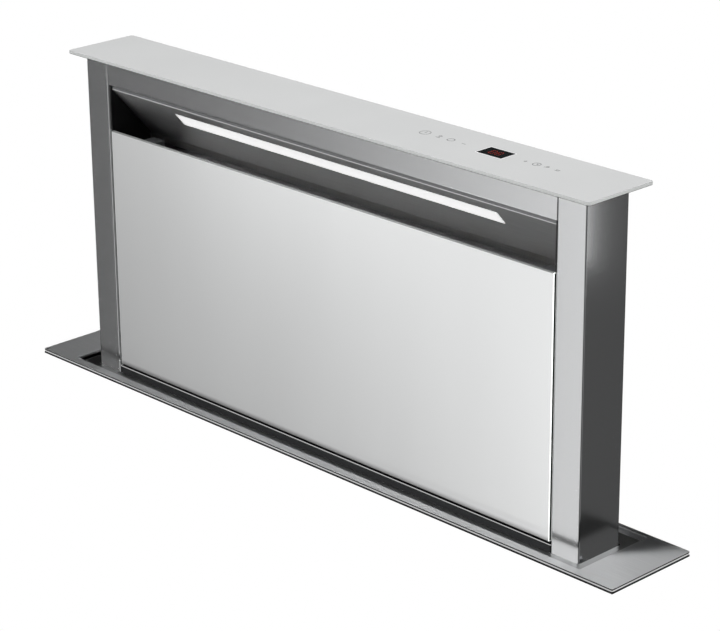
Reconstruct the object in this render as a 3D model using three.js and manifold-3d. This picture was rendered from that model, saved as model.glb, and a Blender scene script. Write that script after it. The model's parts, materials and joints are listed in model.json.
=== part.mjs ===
// A downdraft vent: a slim extractor that rises out of a slot in a worktop, behind or beside a hob.
// Millimetres, +Z up. The origin is on the worktop's top surface, at the middle of the riser.
// X runs along the width, the front with the glass panel and the intake faces -Y.
// It is drawn with the riser fully raised; the riser slides down by TRAVEL until its cap is flush.

import * as THREE from 'three';
import { mergeVertices } from 'three/addons/utils/BufferGeometryUtils.js';
import Module from 'manifold-3d';

const wasm = await Module();
wasm.setup();

// ---- fits ----
const SEAM = 0.3; // between faces that are screwed, glued or laid together
const RUN = 0.5; // between faces that slide or turn past each other
const SHEET = 1.2; // stainless sheet of the flange and the riser
const CASING_SHEET = 1.0; // galvanised sheet of the housing below the worktop
const BEND = 1.5; // outside radius of a fold

// ---- flange on the worktop ----
const FLANGE_TOP = 5.5; // height over the worktop
const FLANGE_REST = 37; // how far the flange lies on the worktop at each end of the hole
const FLANGE_REST_FRONT = 8;
const FLANGE_REST_REAR = 4;
const FLANGE_CORNER = 2;
const SEAL_T = 1.2; // foam seal between flange and worktop
const SEAL_INSET = 1; // the seal stays back from the flange's edge
const CUTOUT_PLAY_X = 3; // hole in the worktop, beside the casing
const CUTOUT_PLAY_Y = 1;
const RECESS_PLAY_X = 4.5; // rebate that takes the cap when the riser is down, beside the cap
const RECESS_PLAY_Y = 4;
const RECESS_DEPTH = 6.7;
const SLOT_GAP = 2.5; // around the riser in the rebate's floor
const WIPER_T = 3; // rubber wiper round the riser, under the rebate
const WIPER_W = 7;

// ---- riser ----
const RISER_W = 742;
const RISER_D = 60;
const TRAVEL = 369;
const RISER_TAIL = 120; // how much of the raised riser stays below the worktop
const CAP_LAP_X = 14.5; // how far the cap stands out over the riser
const CAP_LAP_FRONT = 14;
const CAP_LAP_REAR = 18;
const CAP_T = 4;
const CAP_CORNER = 3;
const CAP_ARRIS = 0.5;
const POST_FACE = 36.5; // width of the upright's front face
const POST_RETURN = 20; // its fold back beside the glass
const POST_REAR = 20; // its fold across the back
const LINTEL_H = 29;
const LINTEL_HEM = 3.5;
const INTAKE_H = 52.5; // clear height of the intake slot
const PANEL_T = 4; // white glass panel
const PANEL_GAP = 1.8; // beside it
const PANEL_FOOT = 2.5; // under it
const PANEL_FRAME_INSET = 10;
const PANEL_FRAME_D = 6;
const HOOK_W = 30;
const HOOK_INSET = 84.5; // from the upright to the middle of a hook
const HOOK_SINK = 1;
const CATCH_INSET = 34.5;
const CATCH_BACK = 10; // how far the catch reaches over the filter frame
const CATCH_W = 20;
const CATCH_H = 16;
const CHEEK_T = 2;
const CEILING_DROP = 66; // of the sloped light panel, over CEILING_RUN
const CEILING_RUN = 57;
const LIGHT_L = 480;
const LIGHT_W = 19;
const LIGHT_X = 5;
const LIGHT_DOWN = 14.5; // from the ceiling's front fold to the light, along the slope
const LIGHT_T = 3;
const PLUG_W = 12; // the light's connector
const PLUG_H = 7;
const FILTER_T = 9;
const FILTER_RIM = 8;
const FILTER_GAP = 4; // between the two filters
const FILTER_LAND = 12; // rim of the filter frame's windows
const FILTER_PLANE = 2; // Y of the filter frame's front face
const FLUTES = 18;
const FLUTE_D = 2;
const LOOP_W = 60; // finger loop at the filter's head
const LOOP_WALL = 6;
const LOOP_H = 3;
const LOOP_REACH = 5;
const TRAY_H = 10; // drip tray
const TRAY_FRONT = 12.5; // room in front of it
const TRAY_UNDERLAP = 0.5; // the filter frame's foot reaches this far past its front
const FOOT_RING = 12; // width of the frame that closes the riser's foot
const FOOT_T = 2;
const CARRIER_SKIRT = 9;
const DISPLAY_INSET = 165.5; // from the cap's right edge to the middle of the display
const DISPLAY_Y = 8;
const DISPLAY_W = 33;
const DISPLAY_D = 22;
const TOUCH_OFFSET = 7; // the row of touch keys is centred this far left of the display
const TOUCH_W = 210;
const TOUCH_D = 28;
const TOUCH_DROP = 8; // the board hangs this far under the carrier
const CHIP_COUNT = 4;
const CHIP_PITCH = 12;
const CHIP_W = 6;
const CHIP_D = 12;
const CHIP_H = 2;
const STANDOFF_W = 6;

// ---- housing below the worktop ----
const CASING_DEPTH = 620;
const CASING_PLAY_Y = 1; // between the flange's rebate and the casing
const CASING_LEG = 18; // folds of the side channels
const CASING_LIP = 19; // top fold that the flange is screwed to
const FLOOR_UPTURN = 20;
const BEAD_H = 16; // stiffening beads pressed into the rear panel
const BEAD_IN = 3;
const BEAD_PROUD = 0.01; // keeps the bead's face off the sheet's
const BEAD_LEVELS = [-140, -290, -440];

// ---- lift ----
const NUT_PLAY = 0.4; // between the nut's flange and the riser's bracket
const SCREW_ROOM = 14.5; // from the screw's axis to the casing's side
const SCREW_Y = -14;
const SCREW_R = 6;
const JOURNAL_R = 4;
const RAIL_Y = 14;
const RAIL_W = 24;
const RAIL_D = 11;
const RAIL_T = 1.5;
const RAIL_OPENING = 12;
const SHOE_H = 66;
const BRACKET_T = 3;
const BRACKET_H = 76;
const BRACKET_D = 52;
const SHELF_T = 6;
const SHELF_RISE = 36; // of the shelf over the riser's foot
const BRACKET_RISE = 2; // of the bracket over the riser's foot
const GUSSET_T = 2;
const GUSSET_H = 20;
const NUT_R = 8;
const NUT_FLANGE_R = 9.8;
const NUT_FLANGE_T = 3;
const NUT_L = 18;
const TOP_BEARING_H = 14;
const TOP_BEARING_WALL = 5; // round the journal's hole
const DRIVE_PLATE_Z = -576; // underside of the plate that carries the screws
const DRIVE_PLATE_T = 3;
const PLATE_TAB = 30;
const PLATE_REAR = 28;
const PLATE_SETBACK = 8; // behind the casing's front
const BUSH_R = 9;
const BUSH_T = 5;
const PULLEY_TEETH = 14;
const BELT_PITCH = 5;
const BELT_W = 8;
const BELT_T = 1.3;
const PULLEY_FLANGE_T = 1;
const GEARBOX_W = 56;
const GEARBOX_D = 48;
const GEARBOX_H = 34;
const LIFT_MOTOR_R = 18;
const LIFT_MOTOR_L = 78;

// ---- blower ----
const BLOWER_X = 0;
const BLOWER_Z = -330;
const INLET_R = 80;
const THROAT_R = 70;
const THROAT_LAP = 4; // how far the bell mouth reaches into the impeller's ring
const INLET_GAP = 11; // between the scroll's wall and the impeller
const SCROLL_T = 1.5;
const SCROLL_D = 104;
const SCROLL_START_R = 105; // at the tongue
const SCROLL_END_R = 150;
const TONGUE_DEG = 50;
const OUTLET_W = 110;
const OUTLET_DROP = 175; // from the impeller's axis to the outlet's edge
const IMPELLER_R = 90;
const IMPELLER_W = 70;
const BLADES = 32;
const BLADE_L = 14; // radial depth
const BLADE_T = 1.4;
const BLADE_SWEEP = 0.13; // radians that a blade's tip leads its root
const HUB_R = 14;
const HUB_L = 22;
const HUB_FILLET = 6;
const DISC_T = 2;
const SHAFT_R = 5;
const SHAFT_INTO_MOTOR = 6;
const MOTOR_R = 48;
const MOTOR_HOLE_R = 50;
const MOTOR_L = 46;
const MOTOR_FLANGE = 10;
const MOTOR_FLANGE_T = 3;
const ADAPTER_H = 40; // square to round
const SPIGOT_R = 75; // takes a 150 mm duct
const SPIGOT_L = 45;
const SPIGOT_T = 2;
const SPIGOT_Y = -130;
const FLAP_T = 1.2;
const PIN_R = 2;

// ---- electrics and fixings ----
const BOX_W = 170;
const BOX_H = 130;
const BOX_D = 44;
const BOX_INSET = 30; // from the casing's left side
const BOX_Z = -145;
const BOX_T = 2.5;
const BOARD_T = 1.6;
const RELAY_W = 18;
const RELAY_H = 15;
const RELAY_PITCH = 24;
const TRANSFORMER_W = 44;
const TRANSFORMER_H = 40;
const TRANSFORMER_D = 24;
const CAPACITOR_R = 9;
const CAPACITOR_L = 26;
const TERMINALS_W = 70;
const TERMINALS_H = 12;
const BOARD_INSET = 6;
const BOARD_GAP = 8; // bosses that the board is screwed to
const GLAND_R = 8;
const GLAND_BORE = 4;
const GLAND_NUT_R = 10;
const GLAND_NUT_L = 16;
const GLAND_NOSE_L = 8;
const SWITCH_H = 20;
const SWITCH_W = 12;
const SWITCH_D = 8;
const SWITCH_OVERRUN = 12; // the switches close this far before the ends of the travel
const CLAMP_D = 50;
const CLAMP_LEG = 80;
const CLAMP_REACH = 38;
const CLAMP_BOLT_X = 22.8; // from the casing's side to the bolt
const CLAMP_Z = -70;
const CLAMP_T = 2;
const BOLT_R = 3;

// ---- worked out from these ----
const RISER_X = RISER_W / 2;
const CAP_W = RISER_W + 2 * CAP_LAP_X;
const CAP_D = RISER_D + CAP_LAP_FRONT + CAP_LAP_REAR;
const CAP_BACK = (CAP_LAP_REAR - CAP_LAP_FRONT) / 2; // the cap's centre lies this far behind the riser's
const RECESS_W = CAP_W + 2 * RECESS_PLAY_X;
const RECESS_D = CAP_D + 2 * RECESS_PLAY_Y;
const BRACKET_X = RISER_X + SEAM;
const SCREW_X = BRACKET_X + BRACKET_T + NUT_PLAY + NUT_FLANGE_R;
const CASING_W = 2 * (SCREW_X + SCREW_ROOM + CASING_SHEET);
const CASING_D = RECESS_D + 2 * CASING_PLAY_Y;
const CUTOUT_W = CASING_W + 2 * CUTOUT_PLAY_X;
const CUTOUT_D = CASING_D + 2 * CUTOUT_PLAY_Y;
const FLANGE_W = CUTOUT_W + 2 * FLANGE_REST;
const FLANGE_FRONT = -CUTOUT_D / 2 - FLANGE_REST_FRONT;
const FLANGE_REAR = CUTOUT_D / 2 + FLANGE_REST_REAR;
const FLANGE_MID = (FLANGE_FRONT + FLANGE_REAR) / 2;
const FLANGE_D = FLANGE_REAR - FLANGE_FRONT;
const DISPLAY_X = CAP_W / 2 - DISPLAY_INSET;
const TOUCH_X = DISPLAY_X - TOUCH_OFFSET;
const RECESS_FLOOR = FLANGE_TOP - RECESS_DEPTH;
const TRAY_UNDER = RECESS_FLOOR - SHEET;
const CASING_TOP = TRAY_UNDER - SEAM;
const CASING_BOTTOM = -CASING_DEPTH;
const CASING_FRONT = -CASING_D / 2; // outer faces
const CASING_REAR = CASING_D / 2;
const CASING_INNER_X = CASING_W / 2 - CASING_SHEET;
const LEG_OUTER_Y = CASING_D / 2 - CASING_SHEET - SEAM;

const CAP_TOP = FLANGE_TOP + TRAVEL;
const CAP_UNDER = CAP_TOP - CAP_T;
const RISER_TOP = CAP_UNDER - SEAM;
const POST_TOP = RISER_TOP - SHEET - SEAM;
const RISER_FOOT = FLANGE_TOP - RISER_TAIL;
const FACE_Y = -RISER_D / 2;
const BACK_Y = RISER_D / 2;
const OPEN_X = RISER_X - POST_FACE; // half the width between the uprights
const LINTEL_FOOT = RISER_TOP - LINTEL_H;
const PANEL_TOP = LINTEL_FOOT - INTAKE_H;
const PANEL_FOOT_Z = FLANGE_TOP + PANEL_FOOT;
const BACK_SHEET_Y = BACK_Y - SHEET - SEAM; // rear face of the back panel
const INNER_REAR = BACK_SHEET_Y - SHEET - SEAM; // what stands inside ends here
const CHEEK_X = OPEN_X - SEAM; // outer face of a cheek
const INNER_X = CHEEK_X - CHEEK_T - SEAM; // what lies between the cheeks ends here
const CEILING_FRONT_Y = FACE_Y + LINTEL_HEM + SEAM;
const CEILING_SLOPE = Math.atan2(CEILING_DROP, CEILING_RUN);
const CEILING_FRONT_Z = LINTEL_FOOT - 5;
const CEILING_REAR_Z = CEILING_FRONT_Z - (INNER_REAR - CEILING_FRONT_Y) * Math.tan(CEILING_SLOPE);
const FRAME_FOOT_Z = FLANGE_TOP - SHEET;
const FRAME_TOP_Z = CEILING_REAR_Z - 14;
const FILTER_FOOT = FLANGE_TOP + TRAY_H + 2;
const FILTER_TOP = FRAME_TOP_Z - SHEET - SEAM;

const BRACKET_TOP = RISER_FOOT + BRACKET_RISE + BRACKET_H;
const SHELF_Z = RISER_FOOT + SHELF_RISE; // underside of the shelf that the nut hangs in
const SCREW_TOP = CASING_TOP - CASING_SHEET - SEAM - 2;
const TOP_BEARING_Z = SCREW_TOP - 1 - TOP_BEARING_H; // its underside
const RAIL_TOP = CASING_TOP - CASING_SHEET - SEAM;
const PLATE_TOP = DRIVE_PLATE_Z + DRIVE_PLATE_T;
const BUSH_TOP = PLATE_TOP + BUSH_T;
const PULLEY_FOOT = BUSH_TOP + RUN;
const PULLEY_H = BELT_W + 2 * PULLEY_FLANGE_T + 2 * SEAM;
const PULLEY_R = (PULLEY_TEETH * BELT_PITCH) / (2 * Math.PI) - BELT_T / 2;
const THREAD_FOOT = PULLEY_FOOT + PULLEY_H + SEAM;
const GEARBOX_TOP = DRIVE_PLATE_Z - SEAM;
const SCREW_END = GEARBOX_TOP - 14;
const GEARBOX_RIGHT = CASING_INNER_X - SEAM - DRIVE_PLATE_T - 1; // inside the plate's bent end

const SCROLL_REAR = CASING_FRONT - SEAM; // the face against the casing
const SCROLL_FRONT = SCROLL_REAR - SCROLL_D;
const SCROLL_MID = (SCROLL_REAR + SCROLL_FRONT) / 2;
const IMPELLER_REAR = SCROLL_REAR - SCROLL_T - INLET_GAP; // inlet end
const IMPELLER_FRONT = IMPELLER_REAR - IMPELLER_W;
const OUTLET_Z = BLOWER_Z - OUTLET_DROP;
const OUTLET_X = BLOWER_X + SCROLL_END_R - OUTLET_W / 2;
const ADAPTER_TOP = OUTLET_Z - SEAM;
const SPIGOT_TOP = ADAPTER_TOP - ADAPTER_H;
const SPIGOT_FOOT = SPIGOT_TOP - SPIGOT_L;
const FLAP_Z = SPIGOT_TOP - 8;

const BIG = 36; // facets of a large circle
const MID = 28;
const SMALL = 18;

// ---- materials ----
function finish(name, color, roughness, metalness) {
  return new THREE.MeshStandardMaterial({ name, color, roughness, metalness });
}
const brushedSteel = finish('brushed stainless steel', 0xb8b9ba, 0.32, 1);
const polishedSteel = finish('polished stainless steel', 0xd2d3d4, 0.12, 1);
const galvanised = finish('galvanised sheet steel', 0xa9adb0, 0.45, 1);
const whiteGlass = finish('white backed glass', 0xe9eaea, 0.08, 0);
const opal = finish('opal acrylic', 0xf8f8f4, 0.4, 0);
const blackPlastic = finish('black moulded plastic', 0x1c1c1d, 0.5, 0);
const greyPlastic = finish('grey moulded plastic', 0x77797b, 0.5, 0);
const whiteNylon = finish('white nylon', 0xe2e0d8, 0.5, 0);
const rubber = finish('black rubber', 0x151515, 0.8, 0);
const aluminium = finish('drawn aluminium', 0xc4c6c8, 0.35, 1);
const bronze = finish('sintered bronze', 0xa9783c, 0.4, 1);
const groundSteel = finish('ground steel', 0x9c9ea0, 0.25, 1);
const boardGreen = finish('glass fibre circuit board', 0x1f5a35, 0.5, 0);

// ---- solids ----
function toSolid(geometry) {
  const bare = geometry.clone();
  bare.deleteAttribute('normal');
  bare.deleteAttribute('uv');
  const merged = mergeVertices(bare, 1e-4);
  return new wasm.Manifold(new wasm.Mesh({
    numProp: 3,
    vertProperties: new Float32Array(merged.attributes.position.array),
    triVerts: new Uint32Array(merged.index.array),
  }));
}

function toGeometry(solid) {
  const { vertProperties, triVerts } = solid.getMesh();
  const geometry = new THREE.BufferGeometry();
  geometry.setAttribute('position', new THREE.BufferAttribute(new Float32Array(vertProperties), 3));
  geometry.setIndex(new THREE.BufferAttribute(new Uint32Array(triVerts), 1));
  return geometry;
}

function join(first, ...others) {
  return toGeometry(others.reduce((sum, other) => sum.add(toSolid(other)), toSolid(first)));
}

function cut(body, ...tools) {
  return toGeometry(tools.reduce((rest, tool) => rest.subtract(toSolid(tool)), toSolid(body)));
}

// A shape drawn in X and Y, standing between two heights.
function standing(shape, low, high, curveSegments = 4) {
  const geometry = new THREE.ExtrudeGeometry(shape, { depth: high - low, bevelEnabled: false, curveSegments });
  return geometry.translate(0, 0, low);
}

// A shape drawn in Y and Z, running from one X to another.
const TURN_TO_X = new THREE.Matrix4().makeBasis(
  new THREE.Vector3(0, 1, 0), new THREE.Vector3(0, 0, 1), new THREE.Vector3(1, 0, 0));
function acrossX(shape, left, right) {
  return standing(shape, left, right).applyMatrix4(TURN_TO_X);
}

// A shape drawn in X and Z, running from its rear Y to its front Y.
const TURN_TO_Y = new THREE.Matrix4().makeBasis(
  new THREE.Vector3(1, 0, 0), new THREE.Vector3(0, 0, 1), new THREE.Vector3(0, -1, 0));
function throughY(shape, front, rear) {
  return standing(shape, -rear, -front).applyMatrix4(TURN_TO_Y);
}

function block(x0, x1, y0, y1, z0, z1) {
  return new THREE.BoxGeometry(x1 - x0, y1 - y0, z1 - z0)
    .translate((x0 + x1) / 2, (y0 + y1) / 2, (z0 + z1) / 2);
}

// A round bar about a vertical axis.
function upright(radius, x, y, low, high, facets = MID) {
  return new THREE.CylinderGeometry(radius, radius, high - low, facets)
    .rotateX(Math.PI / 2).translate(x, y, (low + high) / 2);
}

// A round bar along Y.
function levelBar(radius, x, z, front, rear, facets = MID) {
  return new THREE.CylinderGeometry(radius, radius, rear - front, facets)
    .translate(x, (front + rear) / 2, z);
}

// A turned piece about a vertical axis; the outline gives [radius, height] pairs and closes on itself.
function turned(outline, x, y, facets = MID) {
  const points = [...outline, outline[0]].map(([radius, height]) => new THREE.Vector2(radius, height));
  return new THREE.LatheGeometry(points, facets).rotateX(Math.PI / 2).translate(x, y, 0);
}

// The same about an axis along Y; the outline gives [radius, Y] pairs, from the front to the rear outside.
function turnedOnY(outline, x, z, facets = BIG) {
  const points = [...outline, outline[0]].map(([radius, along]) => new THREE.Vector2(radius, along));
  return new THREE.LatheGeometry(points, facets).translate(x, 0, z);
}

function rectangle(width, depth, radius, cx = 0, cy = 0) {
  const shape = new THREE.Shape();
  const x = width / 2 - radius;
  const y = depth / 2 - radius;
  shape.absarc(cx + x, cy - y, radius, -Math.PI / 2, 0, false);
  shape.absarc(cx + x, cy + y, radius, 0, Math.PI / 2, false);
  shape.absarc(cx - x, cy + y, radius, Math.PI / 2, Math.PI, false);
  shape.absarc(cx - x, cy - y, radius, Math.PI, 1.5 * Math.PI, false);
  return shape;
}

function polygon(points) {
  return new THREE.Shape(points.map(([u, v]) => new THREE.Vector2(u, v)));
}

function withHoles(shape, ...holes) {
  shape.holes.push(...holes);
  return shape;
}

function circle(radius, cx, cy, facets) {
  const angles = [...Array(facets).keys()].map((i) => (2 * Math.PI * i) / facets);
  return polygon(angles.map((angle) => [cx + radius * Math.cos(angle), cy + radius * Math.sin(angle)]));
}

// The section of a folded sheet: corners of its middle line, its thickness and the outside radius of its bends.
function foldedSheet(corners, thickness, outside = BEND, steps = 3) {
  const radius = outside - thickness / 2;
  const points = corners.map(([u, v]) => new THREE.Vector2(u, v));
  const middle = [];
  const place = (point, along) => middle.push({ point, side: new THREE.Vector2(-along.y, along.x) });
  place(points[0], points[1].clone().sub(points[0]).normalize());
  for (let i = 1; i < points.length - 1; i += 1) {
    const into = points[i].clone().sub(points[i - 1]).normalize();
    const out = points[i + 1].clone().sub(points[i]).normalize();
    const turn = Math.atan2(into.cross(out), into.dot(out));
    const setback = radius * Math.tan(Math.abs(turn) / 2);
    const start = points[i].clone().addScaledVector(into, -setback);
    const centre = start.clone().addScaledVector(new THREE.Vector2(-into.y, into.x), Math.sign(turn) * radius);
    for (let step = 0; step <= steps; step += 1) {
      const angle = (turn * step) / steps;
      place(start.clone().rotateAround(centre, angle), into.clone().rotateAround(new THREE.Vector2(), angle));
    }
  }
  const last = points.length - 1;
  place(points[last], points[last].clone().sub(points[last - 1]).normalize());
  const left = middle.map(({ point, side }) => point.clone().addScaledVector(side, thickness / 2));
  const right = middle.map(({ point, side }) => point.clone().addScaledVector(side, -thickness / 2));
  return new THREE.Shape([...right, ...left.reverse()]);
}

function mirrored(geometry) {
  const twin = geometry.clone().scale(-1, 1, 1);
  const index = twin.index ? Array.from(twin.index.array) : [...Array(twin.attributes.position.count).keys()];
  for (let i = 0; i < index.length; i += 3) {
    [index[i + 1], index[i + 2]] = [index[i + 2], index[i + 1]];
  }
  twin.setIndex(index);
  return twin;
}

const vent = new THREE.Group();
const housing = new THREE.Group();
const riser = new THREE.Group();
const liftDrive = new THREE.Group();
const blower = new THREE.Group();
vent.add(housing, riser, liftDrive, blower);

function piece(group, name, geometry, material) {
  const mesh = new THREE.Mesh(geometry, material);
  mesh.name = name;
  group.add(mesh);
}

// The right-hand piece is drawn; the left-hand one is its mirror image.
function pair(group, name, geometry, material) {
  piece(group, `${name}_right`, geometry, material);
  piece(group, `${name}_left`, mirrored(geometry), material);
}

// ================= flange =================

function flangeFrame() {
  const outline = (inset) => rectangle(
    FLANGE_W - 2 * inset, FLANGE_D - 2 * inset, Math.max(FLANGE_CORNER - inset, 0.5), 0, FLANGE_MID);
  const recess = (grow) => rectangle(RECESS_W + 2 * grow, RECESS_D + 2 * grow, BEND);
  const slot = rectangle(RISER_W + 2 * SLOT_GAP, RISER_D + 2 * SLOT_GAP, BEND + SLOT_GAP);
  const face = standing(withHoles(outline(0), recess(0)), FLANGE_TOP - SHEET, FLANGE_TOP);
  const edge = standing(withHoles(outline(0), outline(SHEET)), SEAL_T + SEAM, FLANGE_TOP);
  const wall = standing(withHoles(recess(SHEET), recess(0)), TRAY_UNDER, FLANGE_TOP);
  const floor = standing(withHoles(recess(SHEET), slot), TRAY_UNDER, RECESS_FLOOR);
  return join(face, edge, wall, floor);
}

function flangeSeal() {
  const outline = rectangle(
    FLANGE_W - 2 * SEAL_INSET, FLANGE_D - 2 * SEAL_INSET, FLANGE_CORNER, 0, FLANGE_MID);
  return standing(withHoles(outline, rectangle(CUTOUT_W, CUTOUT_D, BEND)), 0, SEAL_T);
}

function slotWiper() {
  const outline = rectangle(RISER_W + 2 * (RUN + WIPER_W), RISER_D + 2 * (RUN + WIPER_W), BEND + WIPER_W);
  const lip = rectangle(RISER_W + 2 * RUN, RISER_D + 2 * RUN, BEND + RUN);
  return standing(withHoles(outline, lip), TRAY_UNDER - SEAM - WIPER_T, TRAY_UNDER - SEAM);
}

piece(housing, 'flange_frame', flangeFrame(), polishedSteel);
piece(housing, 'flange_seal', flangeSeal(), rubber);
piece(housing, 'slot_wiper_seal', slotWiper(), rubber);

// ================= casing =================

function casingFront() {
  const half = CASING_W / 2;
  const sheet = polygon([[-half, CASING_BOTTOM], [half, CASING_BOTTOM], [half, CASING_TOP],
    [-half, CASING_TOP]]);
  const inlet = circle(INLET_R, BLOWER_X, BLOWER_Z, BIG);
  return throughY(withHoles(sheet, inlet), CASING_FRONT, CASING_FRONT + CASING_SHEET);
}

// Flat sheet with long beads pressed inwards between the side channels.
function casingRear() {
  const inside = CASING_REAR - CASING_SHEET;
  const half = CASING_W / 2 - CASING_LEG - 2 * BEAD_H;
  const bead = (level, deeper, shorter) => {
    const mouth = CASING_REAR - BEAD_PROUD + deeper;
    const bed = inside - BEAD_IN + deeper;
    return acrossX(polygon([[mouth, level - BEAD_H / 2 - BEAD_IN], [mouth, level + BEAD_H / 2 + BEAD_IN],
      [bed, level + BEAD_H / 2], [bed, level - BEAD_H / 2]]), -half + shorter, half - shorter);
  };
  const sheet = block(-CASING_W / 2, CASING_W / 2, inside, CASING_REAR, CASING_BOTTOM, CASING_TOP);
  const raised = join(sheet, ...BEAD_LEVELS.map((level) => bead(level, 0, 0)));
  return cut(raised, ...BEAD_LEVELS.map((level) => bead(level, CASING_SHEET, CASING_SHEET)));
}

function casingSide() {
  const web = CASING_W / 2 - CASING_SHEET / 2;
  const leg = LEG_OUTER_Y - CASING_SHEET / 2;
  const section = foldedSheet([[web - CASING_LEG, -leg], [web, -leg], [web, leg], [web - CASING_LEG, leg]],
    CASING_SHEET);
  const lip = block(CASING_INNER_X - CASING_LIP, CASING_INNER_X, -leg, leg, CASING_TOP - CASING_SHEET,
    CASING_TOP);
  return join(standing(section, CASING_BOTTOM, CASING_TOP), lip);
}

function casingFloor() {
  const side = LEG_OUTER_Y - CASING_SHEET - SEAM - CASING_SHEET / 2;
  const base = CASING_BOTTOM + CASING_SHEET / 2;
  const section = foldedSheet(
    [[-side, base + FLOOR_UPTURN], [-side, base], [side, base], [side, base + FLOOR_UPTURN]], CASING_SHEET);
  return acrossX(section, -CASING_INNER_X + SEAM, CASING_INNER_X - SEAM);
}

piece(housing, 'casing_front', casingFront(), galvanised);
piece(housing, 'casing_rear', casingRear(), galvanised);
pair(housing, 'casing_side', casingSide(), galvanised);
piece(housing, 'casing_floor', casingFloor(), galvanised);

// Clamps that pull the flange down on the worktop from below.
function clampBracket() {
  const inner = CASING_W / 2 + SEAM + CLAMP_T / 2;
  const section = foldedSheet(
    [[inner, CLAMP_Z - CLAMP_LEG], [inner, CLAMP_Z - CLAMP_T / 2],
      [inner + CLAMP_REACH, CLAMP_Z - CLAMP_T / 2]],
    CLAMP_T, CLAMP_T + 1);
  const hole = upright(BOLT_R + SEAM, CASING_W / 2 + CLAMP_BOLT_X, 0, CLAMP_Z - 2 * CLAMP_T,
    CLAMP_Z + CLAMP_T, SMALL);
  const angle = throughY(section, -CLAMP_D / 2, CLAMP_D / 2);
  return cut(angle, hole);
}

pair(housing, 'clamp_bracket', clampBracket(), galvanised);

// ================= riser: frame =================

function post() {
  const face = FACE_Y + SHEET / 2;
  const side = RISER_X - SHEET / 2;
  const back = BACK_Y - SHEET / 2;
  const seam = OPEN_X + SHEET / 2;
  const section = foldedSheet([[seam, face + POST_RETURN], [seam, face], [side, face], [side, back],
    [side - POST_REAR, back]], SHEET);
  return standing(section, RISER_FOOT, POST_TOP);
}

function lintel() {
  const face = FACE_Y + SHEET / 2;
  const foot = LINTEL_FOOT + SHEET / 2;
  const section = foldedSheet([[face, POST_TOP], [face, foot], [FACE_Y + LINTEL_HEM, foot]], SHEET, SHEET);
  return acrossX(section, -CHEEK_X, CHEEK_X);
}

function lowerFrontPanel() {
  const face = FACE_Y + SHEET / 2;
  const top = FLANGE_TOP - SHEET / 2;
  const section = foldedSheet([[face, RISER_FOOT], [face, top], [face + 11, top]], SHEET);
  return acrossX(section, -CHEEK_X, CHEEK_X);
}

function backPanel() {
  const edge = RISER_X - SHEET - SEAM;
  return block(-edge, edge, BACK_SHEET_Y - SHEET, BACK_SHEET_Y, RISER_FOOT + SHEET + SEAM,
    RISER_TOP - SHEET - SEAM);
}

// Ring that the uprights and the front and rear sheets stand on; the air leaves through it.
function footFrame() {
  const outline = rectangle(RISER_W, RISER_D, BEND);
  const opening = rectangle(RISER_W - 2 * FOOT_RING, RISER_D - 2 * FOOT_RING, BEND);
  return standing(withHoles(outline, opening), RISER_FOOT - SEAM - FOOT_T, RISER_FOOT - SEAM);
}

// Plate on top of the riser that the glass cap is glued to, with skirts behind the lintel and the rear panel.
function capCarrier() {
  const x = RISER_X - 1;
  const low = RISER_TOP - SHEET;
  const plate = block(-x, x, FACE_Y + 1, BACK_Y - 1, low, RISER_TOP);
  const front = FACE_Y + SHEET + SEAM;
  const rear = INNER_REAR;
  const skirt = (y0, y1) => block(-INNER_X, INNER_X, y0, y1, RISER_TOP - CARRIER_SKIRT, low + SHEET / 2);
  const window = block(DISPLAY_X - DISPLAY_W / 2 - SEAM, DISPLAY_X + DISPLAY_W / 2 + SEAM,
    DISPLAY_Y - DISPLAY_D / 2 - SEAM, DISPLAY_Y + DISPLAY_D / 2 + SEAM, low - 1, RISER_TOP + 1);
  return cut(join(plate, skirt(front, front + SHEET), skirt(rear - SHEET, rear)), window);
}

pair(riser, 'post', post(), brushedSteel);
piece(riser, 'lintel', lintel(), brushedSteel);
piece(riser, 'lower_front_panel', lowerFrontPanel(), brushedSteel);
piece(riser, 'back_panel', backPanel(), brushedSteel);
piece(riser, 'riser_foot_frame', footFrame(), galvanised);
piece(riser, 'cap_carrier', capCarrier(), galvanised);

// ================= riser: cap and touch controls =================

function capGlass() {
  const outline = rectangle(
    CAP_W - 2 * CAP_ARRIS, CAP_D - 2 * CAP_ARRIS, CAP_CORNER - CAP_ARRIS, 0, CAP_BACK);
  const plate = new THREE.ExtrudeGeometry(outline, { depth: CAP_T - 2 * CAP_ARRIS, bevelThickness: CAP_ARRIS,
    bevelSize: CAP_ARRIS, bevelSegments: 1, curveSegments: 5 });
  return plate.translate(0, 0, CAP_UNDER + CAP_ARRIS);
}

// Board under the glass with the display standing in its window and two posts up to the carrier.
function touchBoard() {
  const top = RISER_TOP - TOUCH_DROP - SEAM;
  const into = BOARD_T / 8; // how far the parts on the board are let into it
  const half = TOUCH_W / 2;
  const on = (x, y, width, depth, high) => block(
    x - width / 2, x + width / 2, y - depth / 2, y + depth / 2, top - into, high);
  const parts = [block(TOUCH_X - half, TOUCH_X + half, DISPLAY_Y - TOUCH_D / 2, DISPLAY_Y + TOUCH_D / 2,
    top - BOARD_T, top)];
  for (let i = 0; i < CHIP_COUNT; i += 1) {
    parts.push(on(TOUCH_X - half + (i + 2) * CHIP_PITCH, DISPLAY_Y, CHIP_W, CHIP_D, top + CHIP_H));
  }
  for (const x of [TOUCH_X - half + STANDOFF_W, TOUCH_X + half - STANDOFF_W]) {
    parts.push(on(x, DISPLAY_Y, STANDOFF_W, STANDOFF_W, RISER_TOP - SHEET - SEAM));
  }
  parts.push(on(DISPLAY_X, DISPLAY_Y, DISPLAY_W, DISPLAY_D, RISER_TOP));
  return join(...parts);
}

piece(riser, 'cap_glass', capGlass(), whiteGlass);
piece(riser, 'touch_display_board', touchBoard(), boardGreen);

// ================= riser: intake, light and filters =================

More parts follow.
